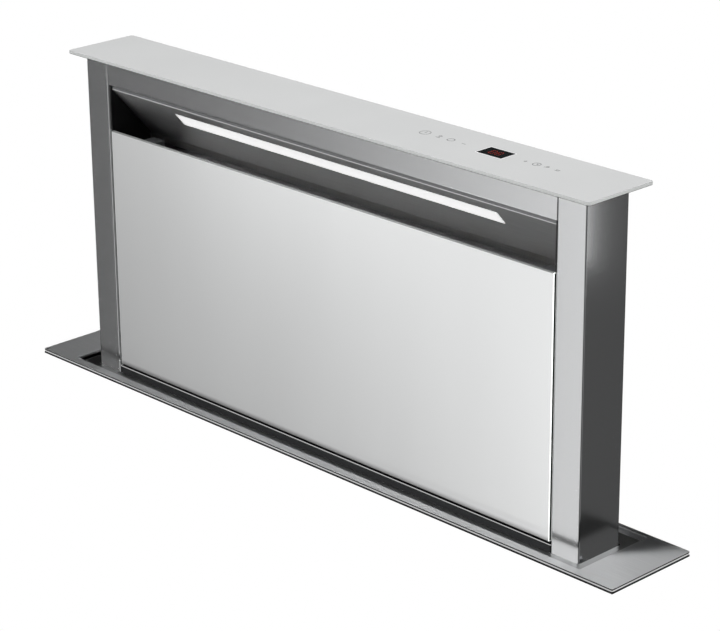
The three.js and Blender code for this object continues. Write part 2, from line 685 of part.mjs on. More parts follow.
// A point of the sloped ceiling's underside, given along the slope and up from it.
function onCeiling(along, up) {
  const y = CEILING_FRONT_Y + along * Math.cos(CEILING_SLOPE) + up * Math.sin(CEILING_SLOPE);
  const z = CEILING_FRONT_Z - along * Math.sin(CEILING_SLOPE) + up * Math.cos(CEILING_SLOPE);
  return [y, z];
}

function ceilingBar(from, to, low, high, left, right) {
  const section = polygon([
    onCeiling(from, low), onCeiling(to, low), onCeiling(to, high), onCeiling(from, high)]);
  return acrossX(section, left, right);
}

const LIGHT_LEFT = LIGHT_X - LIGHT_L / 2;
const LIGHT_RIGHT = LIGHT_X + LIGHT_L / 2;

function lightCeiling() {
  const half = SHEET / 2;
  const front = CEILING_FRONT_Y + half;
  const rear = INNER_REAR - half;
  const rearZ = CEILING_FRONT_Z - (rear - front) * Math.tan(CEILING_SLOPE);
  const section = foldedSheet(
    [[front, LINTEL_FOOT + 16], [front, CEILING_FRONT_Z], [rear, rearZ], [rear, rearZ - 8]], SHEET, BEND, 2);
  const slot = ceilingBar(LIGHT_DOWN - SEAM, LIGHT_DOWN + LIGHT_W + SEAM, -4, 6,
    LIGHT_LEFT - SEAM, LIGHT_RIGHT + SEAM);
  return cut(acrossX(section, -INNER_X, INNER_X), slot);
}

function lightDiffuser() {
  const lens = ceilingBar(LIGHT_DOWN, LIGHT_DOWN + LIGHT_W, 0, LIGHT_T, LIGHT_LEFT, LIGHT_RIGHT);
  const flange = ceilingBar(LIGHT_DOWN - 3, LIGHT_DOWN + LIGHT_W + 3, LIGHT_T - 0.5, LIGHT_T + 1,
    LIGHT_LEFT - 4, LIGHT_RIGHT + 4);
  return join(lens, flange);
}

function ledBoard() {
  const low = LIGHT_T + 1 + SEAM;
  const parts = [ceilingBar(LIGHT_DOWN, LIGHT_DOWN + LIGHT_W, low, low + BOARD_T, LIGHT_LEFT, LIGHT_RIGHT)];
  const plug = LIGHT_RIGHT - 2 * PLUG_W;
  parts.push(ceilingBar(LIGHT_DOWN + PLUG_H, LIGHT_DOWN + 2 * PLUG_H, low + BOARD_T / 2, low + PLUG_H, plug,
    plug + PLUG_W));
  return join(...parts);
}

function cheek() {
  const rear = INNER_REAR;
  const foot = FRAME_TOP_Z + SEAM;
  const behindGlass = FACE_Y + PANEL_T + SEAM;
  const behindFace = FACE_Y + SHEET + SEAM;
  const outline = polygon([[behindFace, LINTEL_FOOT - SEAM], [behindFace, PANEL_TOP + SEAM],
    [behindGlass, PANEL_TOP + SEAM], [behindGlass, foot], [rear, foot], [rear, LINTEL_FOOT - SEAM]]);
  return acrossX(outline, CHEEK_X - CHEEK_T, CHEEK_X);
}

// Sheet that holds the filters: windows, a top fold back to the rear panel and a foot fold under the
// drip tray.
function filterFrame() {
  const face = FILTER_PLANE + SHEET / 2;
  const top = FRAME_TOP_Z - SHEET / 2;
  const foot = FRAME_FOOT_Z + SHEET / 2;
  const front = FACE_Y + SHEET + TRAY_FRONT - TRAY_UNDERLAP;
  const section = foldedSheet([[front, foot], [face, foot], [face, top], [INNER_REAR, top]], SHEET);
  const inner = FILTER_GAP / 2 + FILTER_LAND;
  const outer = CHEEK_X - FILTER_LAND;
  const window = (x0, x1) => block(x0, x1, FILTER_PLANE - 3, FILTER_PLANE + 4, FILTER_FOOT + FILTER_LAND,
    FILTER_TOP - FILTER_LAND);
  return cut(acrossX(section, -CHEEK_X, CHEEK_X), window(inner, outer), window(-outer, -inner));
}

// Aluminium mesh filter: a channel frame round a fluted pack, with a finger loop.
function greaseFilter() {
  const left = FILTER_GAP / 2;
  const right = CHEEK_X - SEAM;
  const back = FILTER_PLANE - SEAM;
  const front = back - FILTER_T;
  const frame = cut(block(left, right, front, back, FILTER_FOOT, FILTER_TOP),
    block(left + FILTER_RIM, right - FILTER_RIM, front - 1, back + 1,
      FILTER_FOOT + FILTER_RIM, FILTER_TOP - FILTER_RIM));
  const span = right - left - 2 * FILTER_RIM + 1;
  const points = [];
  for (let i = 0; i <= 2 * FLUTES; i += 1) {
    points.push([left + FILTER_RIM - 0.5 + (span * i) / (2 * FLUTES), front + FLUTE_D + (i % 2) * FLUTE_D]);
  }
  const pack = polygon([...points, ...points.map(([x, y]) => [x, y + FILTER_T / 3]).reverse()]);
  const core = standing(pack, FILTER_FOOT + FILTER_RIM - 0.5, FILTER_TOP - FILTER_RIM + 0.5);
  const middle = (left + right) / 2;
  const loopTop = FILTER_TOP - FILTER_RIM / 2;
  const open = LOOP_W / 2 - LOOP_WALL;
  const loop = cut(
    block(middle - LOOP_W / 2, middle + LOOP_W / 2, front - LOOP_REACH, front + 1, loopTop - LOOP_H, loopTop),
    block(middle - open, middle + open, front - LOOP_REACH + 2, front - 0.01,
      loopTop - LOOP_H - 1, loopTop + 1));
  return join(frame, core, loop);
}

function dripTray() {
  const front = FACE_Y + SHEET + TRAY_FRONT;
  const rear = FILTER_PLANE - SEAM - SHEET / 2;
  const foot = FLANGE_TOP + SEAM + SHEET / 2;
  const section = foldedSheet(
    [[front, foot + TRAY_H], [front, foot], [rear, foot], [rear, foot + TRAY_H]], SHEET);
  return acrossX(section, -CHEEK_X + SEAM, CHEEK_X - SEAM);
}

pair(riser, 'intake_cheek', cheek(), blackPlastic);
piece(riser, 'light_ceiling', lightCeiling(), brushedSteel);
piece(riser, 'light_diffuser', lightDiffuser(), opal);
piece(riser, 'led_board', ledBoard(), boardGreen);
piece(riser, 'filter_frame', filterFrame(), brushedSteel);
pair(riser, 'grease_filter', greaseFilter(), aluminium);
piece(riser, 'drip_tray', dripTray(), galvanised);

// ================= riser: glass panel =================

const PANEL_X = OPEN_X - PANEL_GAP;

function glassPanel() {
  return block(-PANEL_X, PANEL_X, FACE_Y, FACE_Y + PANEL_T, PANEL_FOOT_Z, PANEL_TOP);
}

// Steel tray glued behind the glass; two hooks stand on the sheet below.
function panelFrame() {
  const front = FACE_Y + PANEL_T + SEAM;
  const x = PANEL_X - PANEL_FRAME_INSET;
  const foot = PANEL_FOOT_Z + PANEL_FRAME_INSET;
  const top = PANEL_TOP - PANEL_FRAME_INSET / 2;
  const shell = cut(block(-x, x, front, front + PANEL_FRAME_D, foot, top),
    block(-x + SHEET, x - SHEET, front + SHEET, front + PANEL_FRAME_D + 1, foot + SHEET, top - SHEET));
  const hook = (middle) => block(middle - HOOK_W / 2, middle + HOOK_W / 2, front, front + SHEET,
    FLANGE_TOP + SEAM, foot + HOOK_SINK);
  return join(shell, hook(OPEN_X - HOOK_INSET), hook(HOOK_INSET - OPEN_X));
}

// Magnetic catch between the filter frame and the panel's steel tray.
function panelCatch() {
  const front = FACE_Y + PANEL_T + SEAM + SHEET + SEAM;
  const top = FRAME_TOP_Z + SEAM + CATCH_H;
  const middle = OPEN_X - CATCH_INSET;
  return block(middle - CATCH_W / 2, middle + CATCH_W / 2, front, FILTER_PLANE + CATCH_BACK,
    top - CATCH_H, top);
}

piece(riser, 'front_glass_panel', glassPanel(), whiteGlass);
piece(riser, 'panel_frame', panelFrame(), galvanised);
pair(riser, 'panel_catch', panelCatch(), blackPlastic);

// ================= lift =================

function guideRail() {
  const back = CASING_INNER_X - SEAM - RAIL_T / 2;
  const mouth = back - RAIL_D;
  const section = foldedSheet([[mouth, RAIL_Y - RAIL_OPENING / 2], [mouth, RAIL_Y - RAIL_W / 2],
    [back, RAIL_Y - RAIL_W / 2], [back, RAIL_Y + RAIL_W / 2], [mouth, RAIL_Y + RAIL_W / 2],
    [mouth, RAIL_Y + RAIL_OPENING / 2]], RAIL_T, RAIL_T + 0.5, 2);
  return join(standing(section, PLATE_TOP + SEAM, RAIL_TOP), topBearing());
}

// Journal block at the rail's head for the screw's upper end.
function topBearing() {
  const front = SCREW_Y - NUT_FLANGE_R - 2;
  const rear = RAIL_Y - RAIL_W / 2;
  const top = TOP_BEARING_Z + TOP_BEARING_H;
  const body = block(SCREW_X - JOURNAL_R - TOP_BEARING_WALL, CASING_INNER_X - SEAM, front, rear,
    TOP_BEARING_Z, top);
  return cut(body, upright(JOURNAL_R + SEAM, SCREW_X, SCREW_Y, TOP_BEARING_Z - 1, top + 1, SMALL));
}

function guideShoe() {
  const back = CASING_INNER_X - SEAM - RAIL_T - RUN;
  const mouth = CASING_INNER_X - SEAM - RAIL_T / 2 - RAIL_D;
  const head = mouth + RAIL_T / 2 + RUN;
  const foot = BRACKET_X + BRACKET_T + SEAM;
  const stem = RAIL_OPENING / 2 - RUN;
  const wide = RAIL_W / 2 - RAIL_T / 2 - RUN;
  const near = mouth - RAIL_T / 2 - RUN;
  const section = polygon([[foot, RAIL_Y - 9], [near, RAIL_Y - 9], [near, RAIL_Y - stem],
    [head, RAIL_Y - stem], [head, RAIL_Y - wide], [back, RAIL_Y - wide], [back, RAIL_Y + wide],
    [head, RAIL_Y + wide], [head, RAIL_Y + stem], [near, RAIL_Y + stem], [near, RAIL_Y + 9],
    [foot, RAIL_Y + 9]]);
  return standing(section, BRACKET_TOP - 5 - SHOE_H, BRACKET_TOP - 5);
}

// Plate on the riser's side with a shelf for the nut and two gussets.
function liftBracket() {
  const plate = block(BRACKET_X, BRACKET_X + BRACKET_T, -BRACKET_D / 2, BRACKET_D / 2,
    BRACKET_TOP - BRACKET_H, BRACKET_TOP);
  const reach = SCREW_X + NUT_R + 2;
  const near = -BRACKET_D / 2;
  const far = SCREW_Y + NUT_FLANGE_R + 2;
  const shelf = block(BRACKET_X + 1, reach, near, far, SHELF_Z, SHELF_Z + SHELF_T);
  const web = polygon([[BRACKET_X + 1, SHELF_Z + 1], [BRACKET_X + 1, SHELF_Z - GUSSET_H],
    [BRACKET_X + BRACKET_T, SHELF_Z - GUSSET_H], [reach, SHELF_Z - BRACKET_T], [reach, SHELF_Z + 1]]);
  const bore = upright(NUT_R + SEAM, SCREW_X, SCREW_Y, SHELF_Z - 2, SHELF_Z + SHELF_T + 2, MID);
  const gussets = [throughY(web, near, near + GUSSET_T), throughY(web, far - GUSSET_T, far)];
  return cut(join(plate, shelf, ...gussets), bore);
}

function screwNut() {
  const seat = SHELF_Z + SHELF_T + SEAM;
  const bore = SCREW_R + SEAM;
  const top = seat + NUT_FLANGE_T;
  return turned([[bore, top], [bore, top - NUT_L], [NUT_R, top - NUT_L], [NUT_R, seat], [NUT_FLANGE_R, seat],
    [NUT_FLANGE_R, top]], SCREW_X, SCREW_Y, SMALL);
}

// Screw with its two journals and the pulley pinned to the lower one.
function leadScrew() {
  const threadTop = TOP_BEARING_Z - RUN;
  const bar = turned([[0, SCREW_END], [JOURNAL_R, SCREW_END], [JOURNAL_R, THREAD_FOOT],
    [SCREW_R - 0.6, THREAD_FOOT], [SCREW_R, THREAD_FOOT + 0.6], [SCREW_R, threadTop - 0.6],
    [SCREW_R - 0.6, threadTop], [JOURNAL_R, threadTop], [JOURNAL_R, SCREW_TOP], [0, SCREW_TOP]],
  SCREW_X, SCREW_Y, SMALL);
  return join(bar, pulley());
}

// Bent plate with pressed-in bushes for the screws' lower ends.
function drivePlate() {
  const end = CASING_INNER_X - SEAM - DRIVE_PLATE_T / 2;
  const level = DRIVE_PLATE_Z + DRIVE_PLATE_T / 2;
  const section = foldedSheet(
    [[-end, level - PLATE_TAB], [-end, level], [end, level], [end, level - PLATE_TAB]],
    DRIVE_PLATE_T, DRIVE_PLATE_T + 1);
  const bush = (x) => upright(BUSH_R, x, SCREW_Y, PLATE_TOP - 1, BUSH_TOP, SMALL);
  const bore = (x) => upright(JOURNAL_R + SEAM, x, SCREW_Y, DRIVE_PLATE_Z - 1, BUSH_TOP + 1, SMALL);
  const plate = throughY(section, -LEG_OUTER_Y + PLATE_SETBACK, PLATE_REAR);
  return cut(join(plate, bush(SCREW_X), bush(-SCREW_X)), bore(SCREW_X), bore(-SCREW_X));
}

// A toothed pulley between two flanges.
function pulley() {
  const root = PULLEY_R - 1.2;
  const rim = new THREE.Shape();
  for (let tooth = 0; tooth < PULLEY_TEETH; tooth += 1) {
    for (const [share, radius] of [[0.08, PULLEY_R], [0.42, PULLEY_R], [0.56, root], [0.94, root]]) {
      const angle = ((tooth + share) / PULLEY_TEETH) * 2 * Math.PI;
      const point = [radius * Math.cos(angle), radius * Math.sin(angle)];
      if (tooth === 0 && share === 0.08) {
        rim.moveTo(...point);
      } else {
        rim.lineTo(...point);
      }
    }
  }
  const toothed = standing(rim, PULLEY_FOOT + 0.5, PULLEY_FOOT + PULLEY_H - 0.5)
    .translate(SCREW_X, SCREW_Y, 0);
  const flange = (low) => upright(PULLEY_R + 0.2, SCREW_X, SCREW_Y, low, low + PULLEY_FLANGE_T, SMALL);
  return join(toothed, flange(PULLEY_FOOT), flange(PULLEY_FOOT + PULLEY_H - PULLEY_FLANGE_T));
}

function syncBelt() {
  const loop = (radius) => {
    const shape = new THREE.Shape();
    shape.absarc(SCREW_X, SCREW_Y, radius, -Math.PI / 2, Math.PI / 2, false);
    shape.absarc(-SCREW_X, SCREW_Y, radius, Math.PI / 2, 1.5 * Math.PI, false);
    return shape;
  };
  const inside = PULLEY_R + RUN;
  const low = PULLEY_FOOT + PULLEY_FLANGE_T + SEAM;
  const belt = new THREE.ExtrudeGeometry(withHoles(loop(inside + BELT_T), loop(inside)),
    { depth: BELT_W, bevelEnabled: false, curveSegments: 10 });
  return belt.translate(0, 0, low);
}

function liftGearbox() {
  const right = GEARBOX_RIGHT;
  const body = block(right - GEARBOX_W, right, SCREW_Y - GEARBOX_D / 2, SCREW_Y + GEARBOX_D / 2,
    GEARBOX_TOP - GEARBOX_H, GEARBOX_TOP);
  return cut(body, upright(JOURNAL_R + RUN, SCREW_X, SCREW_Y, SCREW_END - 1, GEARBOX_TOP + 1, SMALL));
}

function liftMotor() {
  const right = GEARBOX_RIGHT - GEARBOX_W - SEAM;
  const level = GEARBOX_TOP - LIFT_MOTOR_R - 1;
  const outline = [[0, 0], [LIFT_MOTOR_R - 2, 0], [LIFT_MOTOR_R, 2], [LIFT_MOTOR_R, LIFT_MOTOR_L - 4],
    [LIFT_MOTOR_R - 6, LIFT_MOTOR_L], [0, LIFT_MOTOR_L]];
  const points = [...outline, outline[0]].map(([radius, along]) => new THREE.Vector2(radius, along));
  return new THREE.LatheGeometry(points, SMALL).rotateZ(Math.PI / 2).translate(right, SCREW_Y, level);
}

// Strip on the casing's side with a switch for each end of the travel.
function limitSwitches() {
  const outer = -CASING_INNER_X + SEAM;
  const front = -LEG_OUTER_Y + CASING_SHEET + SEAM;
  const upper = BRACKET_TOP - SWITCH_OVERRUN;
  const lower = RISER_FOOT - TRAVEL + SWITCH_OVERRUN;
  const button = SWITCH_H / 10;
  const parts = [block(outer, outer + RAIL_T, front, front + SWITCH_W + button, lower - SWITCH_H,
    upper + SWITCH_H)];
  for (const z of [upper, lower]) {
    parts.push(block(outer + 1, outer + SWITCH_D, front, front + SWITCH_W,
      z - SWITCH_H / 2, z + SWITCH_H / 2));
    parts.push(block(outer + button, outer + SWITCH_D - 3, front + SWITCH_W - 0.5, front + SWITCH_W + button,
      z - button, z + button));
  }
  return join(...parts);
}

pair(liftDrive, 'guide_rail', guideRail(), galvanised);
pair(liftDrive, 'guide_shoe', guideShoe(), whiteNylon);
pair(liftDrive, 'lift_bracket', liftBracket(), galvanised);
pair(liftDrive, 'screw_nut', screwNut(), bronze);
pair(liftDrive, 'lead_screw', leadScrew(), groundSteel);
piece(liftDrive, 'sync_belt', syncBelt(), rubber);
piece(liftDrive, 'drive_plate', drivePlate(), galvanised);
piece(liftDrive, 'lift_gearbox', liftGearbox(), blackPlastic);
piece(liftDrive, 'lift_motor', liftMotor(), galvanised);
piece(liftDrive, 'limit_switch_strip', limitSwitches(), blackPlastic);

// ================= blower =================

// Outline of the scroll, in X and Z: a spiral that grows from the tongue to the outlet, which opens
// downwards.
function scrollOutline(grow, foot) {
  const points = [[BLOWER_X + SCROLL_END_R + grow, BLOWER_Z + foot]];
  const steps = 40;
  const trim = grow > 0 ? 4 : 0;
  for (let i = 0; i <= steps; i += 1) {
    const turn = ((360 - TONGUE_DEG - trim) * i) / steps;
    const share = 1 - turn / (360 - TONGUE_DEG);
    const radius = SCROLL_START_R + (SCROLL_END_R - SCROLL_START_R) * share + grow;
    const angle = THREE.MathUtils.degToRad(turn);
    points.push([BLOWER_X + radius * Math.cos(angle), BLOWER_Z + radius * Math.sin(angle)]);
  }
  points.push([BLOWER_X + SCROLL_END_R - OUTLET_W - grow, BLOWER_Z + foot]);
  return polygon(points);
}

function scrollHalf(isRear) {
  const outer = isRear ? SCROLL_REAR : SCROLL_FRONT;
  const split = SCROLL_MID + (isRear ? SEAM / 2 : -SEAM / 2);
  const inward = isRear ? -SCROLL_T : SCROLL_T;
  const shellFront = Math.min(outer, split);
  const shellRear = Math.max(outer, split);
  const hollowFront = isRear ? split - 1 : outer + inward;
  const hollowRear = isRear ? outer + inward : split + 1;
  const shell = throughY(scrollOutline(SCROLL_T, -OUTLET_DROP), shellFront, shellRear);
  const hollow = throughY(scrollOutline(0, -OUTLET_DROP - 1), hollowFront, hollowRear);
  const hole = levelBar(isRear ? INLET_R : MOTOR_HOLE_R, BLOWER_X, BLOWER_Z, shellFront - 1,
    shellRear + 1, BIG);
  return cut(shell, hollow, hole);
}

// Bell mouth that leads the air from the casing into the impeller.
function inletRing() {
  const mouth = CASING_FRONT + CASING_SHEET;
  const end = IMPELLER_REAR - THROAT_LAP;
  const wall = SCROLL_T;
  const flare = INLET_R - RUN;
  const bell = flare - THROAT_R;
  return turnedOnY([[THROAT_R, end], [THROAT_R + wall, end], [THROAT_R + wall, mouth - 0.85 * bell],
    [THROAT_R + 0.42 * bell, mouth - 0.32 * bell], [flare, mouth - wall], [flare, mouth],
    [THROAT_R + 0.53 * bell, mouth - 0.1 * bell], [THROAT_R + 0.1 * bell, mouth - 0.53 * bell],
    [THROAT_R, mouth - 0.95 * bell]], BLOWER_X, BLOWER_Z);
}

// Forward-curved blades between a back disc with a hub and a ring at the inlet.
function impeller() {
  const inner = IMPELLER_R - BLADE_L;
  const disc = turnedOnY([[0, IMPELLER_FRONT], [IMPELLER_R, IMPELLER_FRONT],
    [IMPELLER_R, IMPELLER_FRONT + DISC_T], [HUB_R + HUB_FILLET, IMPELLER_FRONT + HUB_FILLET],
    [HUB_R, IMPELLER_FRONT + 2 * HUB_FILLET], [HUB_R, IMPELLER_FRONT + HUB_L], [0, IMPELLER_FRONT + HUB_L]],
  BLOWER_X, BLOWER_Z);
  const shaft = levelBar(SHAFT_R, BLOWER_X, BLOWER_Z, SCROLL_FRONT - SHAFT_INTO_MOTOR,
    IMPELLER_FRONT + HUB_L + DISC_T, SMALL);
  const ring = turnedOnY([[inner, IMPELLER_REAR - DISC_T], [IMPELLER_R, IMPELLER_REAR - DISC_T],
    [IMPELLER_R, IMPELLER_REAR], [inner, IMPELLER_REAR]], BLOWER_X, BLOWER_Z);
  const blade = () => {
    const steps = 3;
    const near = [];
    const far = [];
    for (let i = 0; i <= steps; i += 1) {
      const share = i / steps;
      const radius = inner + 0.5 + (BLADE_L - 1) * share;
      const swing = BLADE_SWEEP * share * share;
      const half = BLADE_T / 2 / radius;
      near.push([radius * Math.cos(swing - half), radius * Math.sin(swing - half)]);
      far.push([radius * Math.cos(swing + half), radius * Math.sin(swing + half)]);
    }
    return polygon([...near, ...far.reverse()]);
  };
  const blades = [];
  for (let i = 0; i < BLADES; i += 1) {
    blades.push(throughY(blade(), IMPELLER_FRONT + 1, IMPELLER_REAR - 1)
      .rotateY((2 * Math.PI * i) / BLADES).translate(BLOWER_X, 0, BLOWER_Z));
  }
  return join(disc, shaft, ring, ...blades);
}

function blowerMotor() {
  const face = SCROLL_FRONT - SEAM;
  const inside = IMPELLER_FRONT - 5;
  const bore = SHAFT_R + RUN;
  const neck = MOTOR_HOLE_R - 4;
  const rim = MOTOR_HOLE_R + MOTOR_FLANGE;
  const shaftEnd = SCROLL_FRONT - SHAFT_INTO_MOTOR - 2;
  return turnedOnY([[0, face - MOTOR_L], [MOTOR_R - 8, face - MOTOR_L], [MOTOR_R, face - MOTOR_L + 5],
    [MOTOR_R, face - MOTOR_FLANGE_T], [rim, face - MOTOR_FLANGE_T], [rim, face], [neck, face],
    [neck, inside - 6], [neck - 6, inside], [bore, inside], [bore, shaftEnd], [0, shaftEnd]], BLOWER_X, BLOWER_Z);
}

// Square to round: rings of points run from the scroll's outlet to the duct's circle, outside and inside.
// The pin that the damper flaps turn on is riveted across the spigot.
function ductAdapter() {
  const facets = BIG;
  const depth = SCROLL_D;
  const squareRing = (side, rear, z) => {
    const ring = [];
    for (let i = 0; i < facets; i += 1) {
      const angle = ((i + 0.5) / facets) * 2 * Math.PI;
      const toSide = (OUTLET_W / 2 + side) / Math.abs(Math.cos(angle));
      const toFace = (depth / 2 + (angle < Math.PI ? rear : side)) / Math.abs(Math.sin(angle));
      const reach = Math.min(toSide, toFace);
      ring.push([OUTLET_X + reach * Math.cos(angle), SCROLL_MID + reach * Math.sin(angle), z]);
    }
    return ring;
  };
  const roundRing = (radius, z) => {
    const ring = [];
    for (let i = 0; i < facets; i += 1) {
      const angle = ((i + 0.5) / facets) * 2 * Math.PI;
      ring.push([OUTLET_X + radius * Math.cos(angle), SPIGOT_Y + radius * Math.sin(angle), z]);
    }
    return ring;
  };
  const rings = [
    squareRing(8, 0, ADAPTER_TOP), squareRing(8, 0, ADAPTER_TOP - 2),
    squareRing(SCROLL_T, -0.5, ADAPTER_TOP - 2),
    roundRing(SPIGOT_R, SPIGOT_TOP), roundRing(SPIGOT_R, SPIGOT_FOOT),
    roundRing(SPIGOT_R - SPIGOT_T, SPIGOT_FOOT), roundRing(SPIGOT_R - SPIGOT_T, SPIGOT_TOP),
    squareRing(-1, -2.5, ADAPTER_TOP - 2), squareRing(-1, -2.5, ADAPTER_TOP),
  ];
  const index = [];
  for (let r = 0; r < rings.length; r += 1) {
    const next = (r + 1) % rings.length;
    for (let i = 0; i < facets; i += 1) {
      const j = (i + 1) % facets;
      const [a, b, c, d] = [r * facets + i, r * facets + j, next * facets + j, next * facets + i];
      index.push(a, c, b, a, d, c);
    }
  }
  const shell = new THREE.BufferGeometry();
  shell.setAttribute('position', new THREE.Float32BufferAttribute(rings.flat(2), 3));
  shell.setIndex(index);
  const pin = levelBar(PIN_R, OUTLET_X, FLAP_Z, SPIGOT_Y - SPIGOT_R + 0.5, SPIGOT_Y + SPIGOT_R - 0.5, 12);
  return join(shell, pin);
}

// Half a disc with two knuckles on the pin; the other flap's knuckles fill the gaps between them.
function damperFlap(side) {
  const radius = SPIGOT_R - SPIGOT_T - 2;
  const knuckle = PIN_R + 1.8;
  const disc = new THREE.Shape();
  const start = Math.acos((knuckle + RUN) / radius);
  disc.absarc(0, 0, radius, -start, start, false);
  const plate = new THREE.ExtrudeGeometry(disc, { depth: FLAP_T, bevelEnabled: false, curveSegments: SMALL })
    .translate(0, 0, -FLAP_T / 2);
  const parts = [plate];
  const step = 26;
  const first = side > 0 ? -2 * step : -step;
  for (let k = 0; k < 2; k += 1) {
    const low = first + k * 2 * step + 1;
    const barrel = levelBar(knuckle, 0, 0, low, low + step - 2, 16);
    const arm = block(0, knuckle + 3, low, low + step - 2, -FLAP_T / 2, FLAP_T / 2);
    parts.push(barrel, arm);
  }
  const bore = levelBar(PIN_R + SEAM, 0, 0, -radius, radius, 12);
  const flap = cut(join(...parts), bore);
  const placed = side > 0 ? flap : mirrored(flap);
  return placed.translate(OUTLET_X, SPIGOT_Y, FLAP_Z);
}

piece(blower, 'scroll_rear', scrollHalf(true), greyPlastic);
piece(blower, 'scroll_front', scrollHalf(false), greyPlastic);
piece(blower, 'blower_inlet_ring', inletRing(), blackPlastic);
piece(blower, 'impeller', impeller(), galvanised);
piece(blower, 'blower_motor', blowerMotor(), aluminium);
piece(blower, 'duct_adapter', ductAdapter(), blackPlastic);
piece(blower, 'damper_flap_right', damperFlap(1), blackPlastic);
piece(blower, 'damper_flap_left', damperFlap(-1), blackPlastic);

// ================= control box =================

const BOX_X = BOX_W / 2 + BOX_INSET - CASING_W / 2;
const BOX_REAR = CASING_FRONT - SEAM;
const BOX_FRONT = BOX_REAR - BOX_D;

function boxTray() {
  const outer = block(BOX_X - BOX_W / 2, BOX_X + BOX_W / 2, BOX_FRONT, BOX_REAR,
    BOX_Z - BOX_H / 2, BOX_Z + BOX_H / 2);
  const inner = block(BOX_X - BOX_W / 2 + BOX_T, BOX_X + BOX_W / 2 - BOX_T, BOX_FRONT - 1, BOX_REAR - BOX_T,
    BOX_Z - BOX_H / 2 + BOX_T, BOX_Z + BOX_H / 2 - BOX_T);
  const glandHole = upright(GLAND_R + SEAM, BOX_X, (BOX_FRONT + BOX_REAR) / 2, BOX_Z - BOX_H / 2 - 1,
    BOX_Z - BOX_H / 2 + BOX_T + 1, SMALL);
  const tray = cut(outer, inner, glandHole);
  const boss = (sx, sz) => levelBar(4, BOX_X + sx * (BOX_W / 2 - 14), BOX_Z + sz * (BOX_H / 2 - 14),
    BOX_REAR - BOX_T - BOARD_GAP, BOX_REAR - BOX_T + 0.5, 12);
  return join(tray, boss(1, 1), boss(1, -1), boss(-1, 1), boss(-1, -1));
}

function boxLid() {
  const plate = rectangle(BOX_W + 4, BOX_H + 4, 4, BOX_X, BOX_Z);
  return throughY(plate, BOX_FRONT - SEAM - BOX_T, BOX_FRONT - SEAM);
}

function controlBoard() {
  const back = BOX_REAR - BOX_T - BOARD_GAP - SEAM;
  const face = back - BOARD_T;
  const left = BOX_X - BOX_W / 2 + BOARD_INSET;
  const right = BOX_X + BOX_W / 2 - BOARD_INSET;
  const foot = BOX_Z - BOX_H / 2 + BOARD_INSET;
  const head = BOX_Z + BOX_H / 2 - BOARD_INSET;
  const into = face + BOARD_T / 5; // how far the parts on the board are let into it
  const board = block(left, right, face, back, foot, head);
  const relay = (place) => {
    const x = left + BOARD_INSET + place * RELAY_PITCH;
    const top = head - TRANSFORMER_H / 2;
    return block(x, x + RELAY_W, face - RELAY_H, into, top - RELAY_H, top);
  };
  const coil = right - BOARD_INSET * 2;
  const transformer = block(coil - TRANSFORMER_W, coil, face - TRANSFORMER_D, into,
    head - BOARD_INSET - TRANSFORMER_H, head - BOARD_INSET);
  const capacitor = levelBar(CAPACITOR_R, left + RELAY_PITCH, foot + 3 * CAPACITOR_R,
    face - CAPACITOR_L, into, SMALL);
  const terminals = block(BOX_X - TERMINALS_W / 2, BOX_X + TERMINALS_W / 2, face - TERMINALS_H, into,
    foot + 2, foot + 2 + TERMINALS_H);
  return join(board, relay(0), relay(1), relay(2), transformer, capacitor, terminals);
}

// Screwed gland where the mains lead enters; its nose is drawn in round the lead.
function cableGland() {
  const wall = BOX_Z - BOX_H / 2;
  const nut = wall - GLAND_NUT_L;
  const nose = nut - GLAND_NOSE_L;
  return turned([[GLAND_BORE, nose], [GLAND_NUT_R - 3, nose], [GLAND_NUT_R, nut], [GLAND_NUT_R, wall - SEAM],
    [GLAND_R, wall - SEAM], [GLAND_R, wall + 3 * BOX_T], [GLAND_BORE, wall + 3 * BOX_T]],
  BOX_X, (BOX_FRONT + BOX_REAR) / 2, SMALL);
}

piece(housing, 'control_box', boxTray(), greyPlastic);
piece(housing, 'control_box_lid', boxLid(), greyPlastic);
piece(housing, 'control_board', controlBoard(), boardGreen);
piece(housing, 'cable_gland', cableGland(), blackPlastic);

export default vent;
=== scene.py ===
# %% [markdown]
# # A downdraft vent, dressed for its picture
#
# The object is a slim extractor that rises out of a slot in a worktop: a brushed steel frame with
# a white glass panel, a lit intake slot above it and a glass cap with touch controls. Its solids
# come ready made from the CAD model. This notebook gives them their finishes, adds the details
# that are too small for the CAD model, and sets the camera, the worktop and the light.
#
# Every length is in metres and every point is in the CAD model's own frame: the origin lies on the
# worktop, under the middle of the riser, X runs along the width and the front faces -Y.

import json
import math

import bmesh
import bpy
from mathutils import Matrix, Vector

